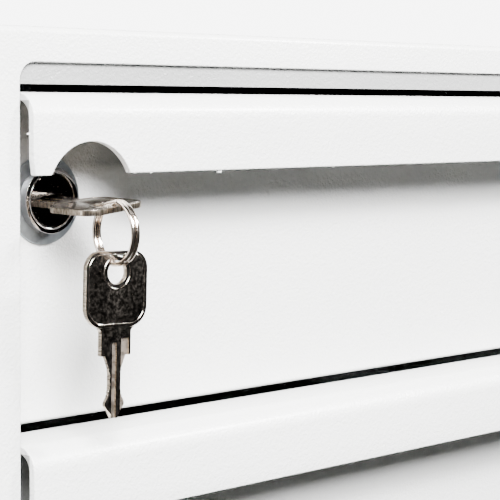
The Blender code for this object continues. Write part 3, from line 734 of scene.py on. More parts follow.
@dataclass
class Casing:
    """Painted steel casing with its rails, pans, uprights, catch plate, rivets and feet."""

    sheet: float = 0.0012
    stile: float = 0.014
    bottom_rail: float = 0.016
    top_reveal: float = 0.0112
    fold: float = 0.0022
    mouth_corner: float = 0.006
    edge: float = 0.00035
    rivet_radius: float = 0.0026
    rivet_inset: float = 0.006
    rivet_sink: float = 0.0004
    rivet_proud: float = 0.0002
    rivet_flat: float = 0.35
    rivets: int = 4
    foot_bore: float = 0.0026
    foot_recess: float = 0.0050
    rib_step: float = 0.0005
    rib_pitch: float = 0.0008
    rib_count: int = 5
    body: str = "casing"

    def build(self, nodes: dict[str, bpy.types.Object]) -> None:
        """Build the new pieces and dress the kept nodes.

        Args:
            nodes: The frame's nodes by name.
        """
        self._shell()
        self._rivets()
        # The top rail gets painted shade: dark grey paint for its recess under the shell's edge.
        nodes["top_rail"].data.materials[0] = RAIL_SHADE_PAINT.material("top_rail_paint")
        nodes["casing_base"].data.materials[0] = INNER_PAINT.material("base_paint")
        nodes["casing_back"].data.materials[0] = WHITE_PAINT.material("back_paint")
        plate = ZINC.material("casing_zinc")
        for name in nodes:
            if name.startswith("upright") or name == "strike_plate":
                nodes[name].data.materials[0] = plate
        for end in ("front", "rear"):
            for side in Side:
                self._foot(f"{end}_{side.word}")

    def _shell(self) -> None:
        """The folded wrap with its rounded mouth."""
        low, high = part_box("casing_shell")
        shape = block(low, high)
        back_and_floor = [face for face in shape.faces if face.normal.y > 0.9 or face.normal.z < -0.9]
        bmesh.ops.delete(shape, geom=back_and_floor, context="FACES")
        round_edges(shape, lambda edge: len(edge.link_faces) == 2, self.fold, 6)
        shell = piece_from(shape, "casing_shell_folded", WHITE_PAINT)
        sheet_from(shell, self.sheet)
        reach = 4 * self.sheet
        mouth = rounded_block((low.x + self.stile, low.y - reach, low.z + self.bottom_rail),
                              (high.x - self.stile, low.y + reach, high.z - self.top_reveal),
                              self.mouth_corner, Axis.Y.value[2], 10)
        combine(shell, mouth)
        ease(shell, self.edge, 2)
        install(shell, self.body, "white_paint", "casing_shell")

    def _rivets(self) -> None:
        """Domed rivets down both edges of the back pan."""
        low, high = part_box("casing_back")
        dome = bmesh.new()
        root = high.y - self.rivet_sink
        for side in Side:
            x = side.value * (high.x - self.rivet_inset)
            for i in range(self.rivets):
                z = low.z + (high.z - low.z) * (i + 0.5) / self.rivets
                place = (Matrix.Translation((x, root, z)) @ Matrix.Rotation(math.pi / 2, 4, "X")
                         @ Matrix.Diagonal((1, 1, self.rivet_flat, 1)))
                bmesh.ops.create_uvsphere(dome, u_segments=20, v_segments=10, radius=self.rivet_radius,
                                          matrix=place)
        for vert in dome.verts:
            vert.co.y = min(max(vert.co.y, root), high.y + self.rivet_proud)
        install(piece_from(dome, "back_rivets", ZINC), self.body, "zinc_steel")

    def _foot(self, label: str) -> None:
        """A ribbed rubber foot and its cross-headed screw."""
        low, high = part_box(f"foot_{label}")
        centre = ((low.x + high.x) / 2, (low.y + high.y) / 2, 0)
        radius = (high.x - low.x) / 2
        top = high.z
        bore, recess, step, pitch = self.foot_bore, self.foot_recess, self.rib_step, self.rib_pitch
        seat = top / 2
        rib = [(radius - step * (i % 2), top - pitch - pitch * i) for i in range(self.rib_count)]
        profile = ([(bore, top), (radius - step, top)] + rib
                   + [(radius * 0.90, 0.0009), (radius * 0.86, 0.0), (recess + 0.0004, 0.0),
                      (recess, 0.0005), (recess, seat), (bore, seat)])
        foot = piece_from(spin_profile(profile, centre, UP, 48, True), f"foot_{label}_ribbed", RUBBER)
        install(foot, self.body, "black_rubber", f"foot_{label}")
        low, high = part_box(f"foot_screw_{label}")
        screw = pan_screw(f"foot_screw_{label}_crossed", (centre[0], centre[1], low.z), UP,
                          (high.x - low.x) / 2, high.z - low.z)
        install(screw, self.body, "zinc_steel", f"foot_screw_{label}")


def pan_screw(name: str, base: Sequence[float], direction: Vector, radius: float,
              length: float) -> bpy.types.Object:
    """A domed screw with a cross recess and a plain shank.

    Args:
        name: The piece's name.
        base: The top of the head, at its middle.
        direction: From the head to the tip.
        radius: The head's radius.
        length: The whole length.

    Returns:
        The screw.
    """
    head = radius * 0.55
    shank = radius * 0.5
    dome = [(0, 0), (radius * 0.45, head * 0.06), (radius * 0.8, head * 0.28), (radius, head * 0.62),
            (radius, head), (shank, head), (shank, length - shank * 0.6), (shank * 0.5, length), (0, length)]
    screw = piece_from(spin_profile(dome, base, direction, 40), name, ZINC)
    base = Vector(base)
    across = direction.orthogonal().normalized()
    for turn in (across, direction.cross(across)):
        other = direction.cross(turn)
        slot = bmesh.new()
        sides = Matrix((turn * radius * 1.1, other * radius * 0.2, direction * head * 0.9)).transposed()
        bmesh.ops.create_cube(slot, size=1, matrix=Matrix.Translation(base) @ sides.to_4x4())
        combine(screw, slot)
    return screw


@dataclass
class HoodFront:
    """A drawer front folded from one sheet: hemmed pull lip, hood, set-back panel and edge returns."""

    label: str
    with_lock: bool
    sheet: float = 0.0012
    hem: float = 0.0026
    hem_edge: float = 0.00045
    bend: float = 0.008
    lip: float = 0.026
    depth: float = 0.0246
    turn_back: float = 0.012
    cutout_radius: float = 0.0186
    cutout_drop: float = 0.0341
    paint_edge: float = 0.00045
    coat_margin: float = 0.00015
    lock_hole_share: float = 0.41
    overhang: float = 0.001
    clip_width: float = 0.0008
    clip_height: float = 0.0056
    nibs: tuple[tuple[float, float, float, float], ...] = (
        (0.0190, 0.3, 0.0, 0.0004), (0.0260, 0.2, 0.0, 0.00035), (0.0590, 0.5, -0.0005, 0.0007),
        (0.1180, 0.3, 0.0, 0.0004), (-0.0242, 0.95, 0.0130, 0.0004))

    def build(self) -> bpy.types.Object:
        """Build the front.

        Returns:
            The finished piece.
        """
        node = f"{self.label}_drawer_front"
        low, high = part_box(node)
        y, top, foot = low.y, high.z, low.z
        panel, back = y + self.depth, y + self.depth + self.sheet
        flange = y + self.depth + self.turn_back
        points = [(y, top - self.lip), (y, top), (back, top), (back, foot + self.sheet),
                  (flange, foot + self.sheet), (flange, foot), (panel, foot), (panel, top - self.hem),
                  (y + self.hem, top - self.hem), (y + self.hem, top - self.lip)]
        ends = (low.x - self.overhang, high.x + self.overhang)
        shape = extrude_outline(points, Axis.X, *ends)
        for u, v, radius, segments in ((y, top, self.bend, 20),
                                       (y + self.hem, top - self.hem, self.bend - self.hem, 14),
                                       (y, top - self.lip, self.hem_edge, 3),
                                       (y + self.hem, top - self.lip, self.hem_edge, 3),
                                       (back, top, self.sheet, 5),
                                       (panel, top - self.hem, self.sheet * 0.5, 3),
                                       (panel, foot, self.sheet * 1.6, 6),
                                       (back, foot + self.sheet, self.sheet * 0.5, 3)):
            round_edges(shape, along(Axis.X, u, v), radius, segments)
        # The coat paints shade inside the hood, behind the lip.
        shaded_coat = HoodCoat(face=y, edge=top - self.lip, roof=self.lip - self.hem + self.coat_margin)
        front = piece_from(shape, f"{self.label}_front_folded", shaded_coat)
        for side in Side:
            edge = sorted((side.value * high.x, side.value * (high.x - self.sheet)))
            combine(front, block((edge[0], panel + self.sheet / 2, foot + self.sheet / 2),
                                 (edge[1], high.y, top - self.hem)), "UNION")
            combine(front, self._corner_cut(side, side.value * ends[1], y, top - self.lip))
        if self.with_lock:
            self._openings(front, y, top, panel)
            self._nibs(y, top - self.lip)
        ease(front, self.paint_edge, 3)
        return install(front, f"{self.label}_drawer", "white_paint", node)

    def _corner_cut(self, side: Side, end: float, y: float, foot: float) -> bmesh.types.BMesh:
        """The sliver that is clipped off a lip's lower corner."""
        out = end + side.value * self.hem
        points = [(out, foot - self.hem), (end - side.value * self.clip_width, foot - self.hem),
                  (end - side.value * self.clip_width, foot), (end, foot + self.clip_height),
                  (out, foot + self.clip_height)]
        return extrude_outline(points, Axis.Y, y - self.hem, y + 2 * self.hem)

    def _nibs(self, y: float, foot: float) -> None:
        """Small beads of paint that baked on the lip's lower edge."""
        low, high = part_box("lock_body")
        x = (low.x + high.x) / 2
        shape = bmesh.new()
        for offset, share, rise, radius in self.nibs:
            place = (Matrix.Translation((x + offset, y + self.hem * share, foot + rise))
                     @ Matrix.Diagonal((1.8, 1.0, 0.9, 1)))
            bmesh.ops.create_uvsphere(shape, u_segments=16, v_segments=10, radius=radius, matrix=place)
        nibs = piece_from(shape, f"{self.label}_paint_nibs", WHITE_PAINT)
        install(nibs, f"{self.label}_drawer", "white_paint")

    def _openings(self, front: bpy.types.Object, y: float, top: float, panel: float) -> None:
        """Cut the round clearance in the lip and the hole for the lock."""
        low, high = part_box("lock_body")
        x, z = (low.x + high.x) / 2, (low.z + high.z) / 2
        inwards = Axis.Y.value[2]
        clearance = [(0, 0), (self.cutout_radius, 0), (self.cutout_radius, 4 * self.hem), (0, 4 * self.hem)]
        combine(front, spin_profile(clearance, (x, y - self.hem, top - self.cutout_drop), inwards, 128))
        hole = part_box("lock_nut")
        radius = (hole[1].x - hole[0].x) * self.lock_hole_share
        bore = [(0, 0), (radius, 0), (radius, 4 * self.sheet), (0, 4 * self.sheet)]
        combine(front, spin_profile(bore, (x, panel - self.sheet, z), inwards, 64))


@dataclass
class DrawerBody:
    """A welded tray behind a front, with its runners, cages and runner screws."""

    label: str
    sheet: float = 0.0012
    fold: float = 0.0018
    edge: float = 0.0004
    nut_room: float = 0.004
    ball: float = 0.0017
    ball_inset: float = 0.0025
    balls_per_row: int = 3
    cage_wall: float = 0.0008
    cage_edge: float = 0.0002
    screw_radius: float = 0.0032
    screw_places: tuple[float, ...] = (0.12, 0.5, 0.88)

    @property
    def body(self) -> str:
        """The body that the tray belongs to."""
        return f"{self.label}_drawer"

    def build(self, nodes: dict[str, bpy.types.Object]) -> None:
        """Build the tray, the cages and the screws, and dress the runners.

        Args:
            nodes: The frame's nodes by name.
        """
        self._tray()
        plate = ZINC.material(f"{self.label}_runner_zinc")
        for side in Side:
            for kind in ("outer", "inner"):
                nodes[f"{self.label}_{kind}_runner_{side.word}"].data.materials[0] = plate
            self._cage(side)
            self._screws(side)

    def _tray(self) -> None:
        """The folded tray, open at the top."""
        node = f"{self.label}_drawer_body"
        low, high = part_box(node)
        shape = block(low, high)
        bmesh.ops.delete(shape, geom=[face for face in shape.faces if face.normal.z > 0.9], context="FACES")
        round_edges(shape, lambda edge: len(edge.link_faces) == 2, self.fold, 4)
        tray = piece_from(shape, f"{self.label}_tray_folded", INNER_PAINT)
        sheet_from(tray, self.sheet)
        if self.label == "upper":
            lock_low, lock_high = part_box("lock_nut")
            room = self.nut_room
            left = max(lock_low.x - room, low.x + self.sheet)
            combine(tray, block((left, low.y - room, lock_low.z - room),
                                (lock_high.x + room, low.y + 2 * self.sheet, high.z + room)))
        ease(tray, self.edge, 2)
        install(tray, self.body, "grey_paint", node)

    def _cage(self, side: Side) -> None:
        """A folded brass strip and the steel balls that it spaces."""
        node = f"{self.label}_ball_cage_{side.word}"
        low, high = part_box(node)
        ball, wall = self.ball, self.cage_wall
        edge_low, edge_high = low.z + ball - wall / 2, high.z - ball + wall / 2
        web = high.x if side is Side.RIGHT else low.x
        lip = low.x if side is Side.RIGHT else high.x
        inner = web - side.value * wall
        points = [(web, edge_low), (web, edge_high), (lip, edge_high), (lip, edge_high - wall),
                  (inner, edge_high - wall), (inner, edge_low + wall), (lip, edge_low + wall),
                  (lip, edge_low)]
        strip = piece_from(extrude_outline(points, Axis.Y, low.y, high.y), f"{node}_strip", BRASS)
        ease(strip, self.cage_edge, 2)
        install(strip, f"{self.label}_ball_cages", "brass", node)
        balls = bmesh.new()
        count = self.balls_per_row
        for z in (edge_low + wall / 2, edge_high - wall / 2):
            for i in range(count):
                y = low.y + (high.y - low.y) * (i + 0.5) / count
                place = Matrix.Translation((lip + side.value * self.ball_inset, y, z))
                bmesh.ops.create_uvsphere(balls, u_segments=24, v_segments=14, radius=ball, matrix=place)
        install(piece_from(balls, f"{node}_balls", BALL_STEEL), f"{self.label}_ball_cages", "zinc_steel")

    def _screws(self, side: Side) -> None:
        """Screws through the tray wall into the inner runner."""
        low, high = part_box(f"{self.label}_inner_runner_{side.word}")
        tray_low, tray_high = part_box(f"{self.label}_drawer_body")
        wall = side.value * (tray_high.x - self.sheet)
        head = self.screw_radius * 0.55
        for i, share in enumerate(self.screw_places):
            base = (wall - side.value * head, low.y + (high.y - low.y) * share, (low.z + high.z) / 2)
            screw = pan_screw(f"{self.label}_runner_screw_{side.word}_{i + 1}", base,
                              Vector((side.value, 0, 0)), self.screw_radius, head + self.sheet * 0.9)
            install(screw, self.body, "zinc_steel")


@dataclass
class CamLock:
    """Cam lock: bezel, zinc rosette, nut, plug with a keyway, cam and cam screw."""

    bead: float = 0.00025
    chamfer: float = 0.0003
    rim: float = 0.0019
    turned: float = math.radians(-6.3)
    cap: float = 0.0010
    recess: float = 0.0006
    play: float = 0.0004
    keyway: tuple[float, float] = (0.0098, 0.0036)
    keyway_depth: float = 0.0225
    tail: float = 0.0038
    barrel: float = 0.008
    plug_bore: float = 0.0066
    plug_barrel: float = 0.0062
    plug_edge: float = 0.00012
    rosette_edge: float = 0.00025
    cam_length: float = 0.030
    cam_half: float = 0.0065
    cam_corner: float = 0.004
    inwards: Vector = field(default_factory=lambda: Vector((0, 1, 0)))

    def build(self) -> None:
        """Build every piece of the lock."""
        low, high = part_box("lock_body")
        centre = Vector(((low.x + high.x) / 2, 0, (low.z + high.z) / 2))
        self._bezel(centre, low.y, high.y, (high.x - low.x) / 2)
        self._rosette(centre)
        self._nut(centre)
        self._plug(centre, low.y, (high.x - low.x) / 2)
        self._cam(centre)

    def _bezel(self, centre: Vector, face: float, rear: float, radius: float) -> None:
        """The chromed body with its chamfered head and fine bright bead."""
        rosette_low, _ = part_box("lock_rosette")
        seat = rosette_low.y - 0.0003
        inner = radius - self.rim
        plug_bore, turn = self.plug_bore, 0.0001
        shoulder = face + self.recess + self.cap + self.play
        bead = arc((inner + self.bead, face + self.bead), self.bead, 340, 190, 10)
        profile = ([(plug_bore, rear), (self.barrel, rear), (self.barrel, seat), (radius, seat)]
                   + arc((radius - turn, face + self.chamfer + turn), turn, 0, -70, 4)
                   + [(inner + self.bead * 2.2, face + self.bead * 1.1)] + bead
                   + [(inner, shoulder), (plug_bore, shoulder)])
        bezel = piece_from(spin_profile(profile, centre, self.inwards, 128, True), "lock_bezel", CHROME)
        install(bezel, "upper_drawer", "chrome", "lock_body")

    def _rosette(self, centre: Vector) -> None:
        """The zinc disk between the bezel and the panel."""
        low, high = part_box("lock_rosette")
        radius = (high.x - low.x) / 2
        edge, bore = self.rosette_edge, self.barrel + BORE_PLAY
        profile = [(bore, high.y), (radius, high.y), (radius, low.y + edge),
                   (radius - edge * 0.3, low.y + edge * 0.3), (radius - edge, low.y), (bore, low.y)]
        disk = piece_from(spin_profile(profile, centre, self.inwards, 128, True), "lock_rosette_disk",
                          ROSETTE_ZINC)
        install(disk, "upper_drawer", "zinc_steel", "lock_rosette")

    def _nut(self, centre: Vector) -> None:
        """A chamfered hexagon nut behind the panel."""
        low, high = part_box("lock_nut")
        corner = (high.z - low.z) / 2
        points = arc((centre.x, centre.z), corner, 30, 330, 5)
        nut = piece_from(extrude_outline(points, Axis.Y, low.y, high.y), "lock_nut_chamfered", ZINC)
        hole = self.barrel + BORE_PLAY
        bore = [(0, -0.001), (hole, -0.001), (hole, 0.006), (0, 0.006)]
        combine(nut, spin_profile(bore, (centre.x, low.y, centre.z), self.inwards, 48))
        ease(nut, 0.0005, 3)
        install(nut, "upper_drawer", "zinc_steel", "lock_nut")

    def _plug(self, centre: Vector, face: float, radius: float) -> None:
        """The turning plug with its broad cap and keyway."""
        low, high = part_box("lock_plug")
        front = face + self.recess
        cap = radius - self.rim - self.play
        barrel, edge = self.plug_barrel, self.plug_edge
        cam_low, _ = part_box("lock_cam")
        rear = cam_low.y - 0.0006
        profile = [(0, high.y), (self.tail, high.y), (self.tail, rear), (barrel, rear),
                   (barrel, front + self.cap), (cap, front + self.cap), (cap, front + edge),
                   (cap - edge, front), (0, front)]
        plug = piece_from(spin_profile(profile, centre, self.inwards, 128), "lock_plug_turned", CHROME)
        half_w, half_h = self.keyway[0] / 2, self.keyway[1] / 2
        slot = rounded_block((centre.x - half_w, face - 0.002, centre.z - half_h),
                             (centre.x + half_w, front + self.keyway_depth, centre.z + half_h), 0.0006,
                             self.inwards, 4)
        self._turn(slot, centre)
        combine(plug, slot)
        ease(plug, edge, 2, 50)
        install(plug, "lock_plug", "chrome", "lock_plug")

    def _turn(self, shape: bmesh.types.BMesh, centre: Vector) -> None:
        """Turn a shape with the plug."""
        bmesh.ops.rotate(shape, cent=centre, matrix=Matrix.Rotation(self.turned, 3, "Y"), verts=shape.verts)

    def _cam(self, centre: Vector) -> None:
        """The cam blade and the screw that holds it on the tail."""
        low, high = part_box("lock_cam")
        half, corner = self.cam_half, self.cam_corner
        tip = self.cam_length
        points = [(centre.x + u, centre.z + v) for u, v in
                  arc((0, 0), half, 90, 270, 20) + arc((tip - corner, corner - half), corner, 270, 360, 6)
                  + arc((tip - corner, half - corner), corner, 0, 90, 6)]
        blade = extrude_outline(points, Axis.Y, low.y, high.y)
        self._turn(blade, centre)
        cam = piece_from(blade, "lock_cam_blade", ZINC)
        hole = self.tail + BORE_PLAY
        bore = [(0, -0.001), (hole, -0.001), (hole, 0.004), (0, 0.004)]
        combine(cam, spin_profile(bore, (centre.x, low.y, centre.z), self.inwards, 40))
        ease(cam, 0.00035, 3)
        install(cam, "lock_plug", "zinc_steel", "lock_cam")
        low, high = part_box("cam_screw")
        screw = pan_screw("cam_screw_crossed", (centre.x, high.y, centre.z), -self.inwards,
                          (high.x - low.x) / 2, high.y - low.y)
        install(screw, "lock_plug", "zinc_steel", "cam_screw")


@dataclass
class KeyShape:
    """A flat double-sided key: bow with a raised edge and boss, shoulder, milled and cut blade."""

    bow: float = 0.0243
    corner: float = 0.0057
    shoulder_corner: float = 0.0068
    hole: float = 0.0038
    hole_inset: float = 0.0068
    thick: float = 0.0018
    edge: float = 0.00018
    shoulder: float = 0.009
    neck: float = 0.0118
    blade: float = 0.020
    width: float = 0.0080
    border: float = 0.0011
    boss: float = 0.0052
    line: float = 0.00042
    line_height: float = 0.0001
    line_sink: float = 0.0003
    fillet: float = 0.0016
    chip: float = 0.0003
    groove_corner: float = 0.0004
    groove_depth: float = 0.00062
    grooves: tuple[tuple[float, float, float], ...] = (
        (-0.0006, 0.0017, -0.0043), (0.0036, 0.0031, -0.0056))
    cuts: tuple[tuple[float, float], ...] = (
        (0.0, 1.06), (0.03, 1.05), (0.06, 0.95), (0.09, 0.90), (0.12, 0.86), (0.15, 0.78), (0.18, 0.72),
        (0.21, 0.66), (0.24, 0.69), (0.27, 0.61), (0.30, 0.54), (0.33, 0.52), (0.37, 0.59), (0.40, 0.60),
        (0.43, 0.53), (0.46, 0.51), (0.49, 0.57), (0.52, 0.54), (0.55, 0.64), (0.58, 0.70), (0.61, 0.67),
        (0.64, 0.76), (0.67, 0.79), (0.70, 0.91), (0.73, 0.98), (0.76, 1.03), (0.79, 1.02), (0.83, 0.90),
        (0.87, 0.72), (0.90, 0.57), (0.94, 0.40), (0.975, 0.33), (1.0, 0.22))

    def build(self, name: str, matrix: Matrix, across: Axis) -> bpy.types.Object:
        """Build a key.

        Args:
            name: The piece's name.
            matrix: From the key's own frame (blade tip at +Y, shoulder stop at 0) to the world.
            across: The world axis nearest to the key's thickness.

        Returns:
            The key.
        """
        half = self.thick / 2
        key = piece_from(extrude_outline(self._outline(), Axis.Z, -half, half), name, NICKEL)
        hole_y = -self.shoulder - self.bow + self.hole_inset
        bore = [(0, -self.thick), (self.hole, -self.thick), (self.hole, self.thick), (0, self.thick)]
        combine(key, spin_profile(bore, (0, hole_y, 0), UP, 64))
        ease(key, self.edge, 3, 28)
        settle(key)
        for sign in (-1, 1):
            for groove in self._grooves(sign):
                combine(key, groove)
        joined = bmesh.new()
        joined.from_mesh(key.data)
        for sign in (-1, 1):
            for line in self._lines(sign, hole_y):
                joined.from_mesh(line.data)
                bpy.data.objects.remove(line, do_unlink=True)
        self._dress(joined)
        joined.transform(matrix)
        joined.to_mesh(key.data)
        joined.free()
        key.data.materials.append(ShearedEdge(across).material(f"{name}_rim"))
        key.data.materials.append(MilledGroove().material(f"{name}_groove"))
        return key

    def _dress(self, shape: bmesh.types.BMesh) -> None:
        """Give the rim and the grooves their own finishes."""
        floor = self.thick / 2 - self.groove_depth
        for face in shape.faces:
            height = abs(face.calc_center_median().z)
            if abs(face.normal.z) < 0.3:
                face.material_index = 1
            elif abs(height - floor) < 0.00002:
                face.material_index = 2

    def _outline(self) -> list[tuple]:
        """The key's outline, once round."""
        stop, fillet, chip = -self.shoulder, self.fillet, self.chip
        neck = self.neck / 2
        right = arc((neck + fillet, stop + fillet), fillet, 270, 180, 4) + [(neck, -chip), (neck - chip, 0)]
        right += [(share * self.width / 2, place * self.blade) for place, share in self.cuts]
        left = [(-u, v) for u, v in reversed(right)]
        return right + left + self._bow(0)

    def _bow(self, inset: float) -> list[tuple]:
        """The bow's outline, moved inwards."""
        half = self.bow / 2 - inset
        top, low = self.corner - inset, self.shoulder_corner - inset
        near, far = -self.shoulder - inset, -self.shoulder - self.bow + inset
        return (arc((-half + low, near - low), low, 90, 180, 12)
                + arc((-half + top, far + top), top, 180, 270, 12)
                + arc((half - top, far + top), top, 270, 360, 12)
                + arc((half - low, near - low), low, 0, 90, 12))

    def _lines(self, sign: int, hole_y: float) -> list[bpy.types.Object]:
        """The raised lines round the bow and round its hole, on one face."""
        half = self.line / 2
        face = self.thick / 2
        span = sorted((sign * (face - self.line_sink), sign * (face + self.line_height)))
        frame = piece_from(extrude_outline(self._bow(self.border - half), Axis.Z, *span), "line")
        combine(frame, extrude_outline(self._bow(self.border + half), Axis.Z, span[0] - self.thick,
                                       span[1] + self.thick))
        profile = [(self.boss - half, span[0]), (self.boss + half, span[0]), (self.boss + half, span[1]),
                   (self.boss - half, span[1])]
        ring = piece_from(spin_profile(profile, (0, hole_y, 0), UP, 72, True), "line")
        for line in (frame, ring):
            ease(line, half * 0.9, 3)
            settle(line)
        return [frame, ring]

    def _grooves(self, sign: int) -> list[bmesh.types.BMesh]:
        """Two milled grooves on one face of the blade; the other face has them mirrored."""
        made = []
        for centre, width, start in self.grooves:
            x = -centre * sign
            span = sorted((sign * (self.thick / 2 - self.groove_depth), sign * self.thick))
            made.append(rounded_block((x - width / 2, start, span[0]),
                                      (x + width / 2, self.blade + 0.002, span[1]),
                                      self.groove_corner, UP, 3))
        return made


@dataclass
class Keys:
    """The key in the lock, the two-turn split ring and the spare key."""

    droop: float = math.radians(1.3)
    turned: float = math.radians(-6.3)
    seat: float = 0.0005
    sink: float = 0.0003
    twist: float = math.radians(-4.2)
    lean: float = math.radians(1.2)
    hang: float = 0.0290
    wire: float = 0.00078
    lay: float = 0.0008
    ring_start: float = math.radians(100)
    crossing: float = math.radians(34)
    shape: KeyShape = field(default_factory=KeyShape)

    def build(self, joints: dict[str, dict]) -> None:
        """Build the three pieces.

        Args:
            joints: The frame's joints by name.
        """
        shape = self.shape
        low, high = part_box("lock_body")
        axis = Vector(((low.x + high.x) / 2, 0, (low.z + high.z) / 2))
        turn = Matrix.Rotation(self.turned, 4, "Y") @ Matrix.Rotation(self.droop, 4, "X")
        drop = math.sin(self.droop) * shape.blade / 2 + self.sink
        place = Matrix.Translation((axis.x, low.y + self.seat, axis.z - drop)) @ turn
        install(shape.build("key_cut", place, Axis.Z), "key", "nickel", "key")
        self._ring()
        pivot = Vector(joints["spare_key_swing"]["pos_m"])
        swing = Matrix.Rotation(self.twist, 4, "Z") @ Matrix.Rotation(self.lean, 4, "Y")
        hang = (Matrix.Translation(pivot + swing @ Vector((0, 0, -self.hang))) @ swing
                @ Matrix.Rotation(-math.pi / 2, 4, "X"))
        install(shape.build("spare_key_cut", hang, Axis.Y), "spare_key", "nickel", "spare_key")

    def _ring(self) -> None:
        """Two turns of wire side by side, with one crossing and two blunt ends."""
        low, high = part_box("key_ring")
        centre = (low + high) / 2
        radius = (high.z - low.z) / 2 - self.lay
        side = self.lay
        twist = Matrix.Rotation(self.twist, 4, "Z")
        across = twist @ RIGHTWARDS
        shape = bmesh.new()
        turn = twist @ Matrix.Rotation(self.ring_start, 4, "X")
        section = Matrix.Translation(centre) @ turn @ Matrix.Translation((-side, radius, 0))
        made = bmesh.ops.create_circle(shape, cap_ends=True, segments=18, radius=self.wire, matrix=section)
        last = [made["verts"][0].link_faces[0]]
        flat = math.tau - self.crossing
        for angle, steps, shift in ((flat, 84, 0.0), (self.crossing, 14, 2 * side), (flat, 84, 0.0)):
            swept = bmesh.ops.spin(shape, geom=last, cent=centre, axis=across, angle=angle, steps=steps,
                                   dvec=across * (shift / steps))
            last = [item for item in swept["geom_last"] if isinstance(item, bmesh.types.BMFace)]
        bmesh.ops.remove_doubles(shape, verts=shape.verts, dist=MERGE)
        bmesh.ops.recalc_face_normals(shape, faces=shape.faces)
        install(piece_from(shape, "key_ring_wire", WIRE), "key_ring", "nickel", "key_ring")


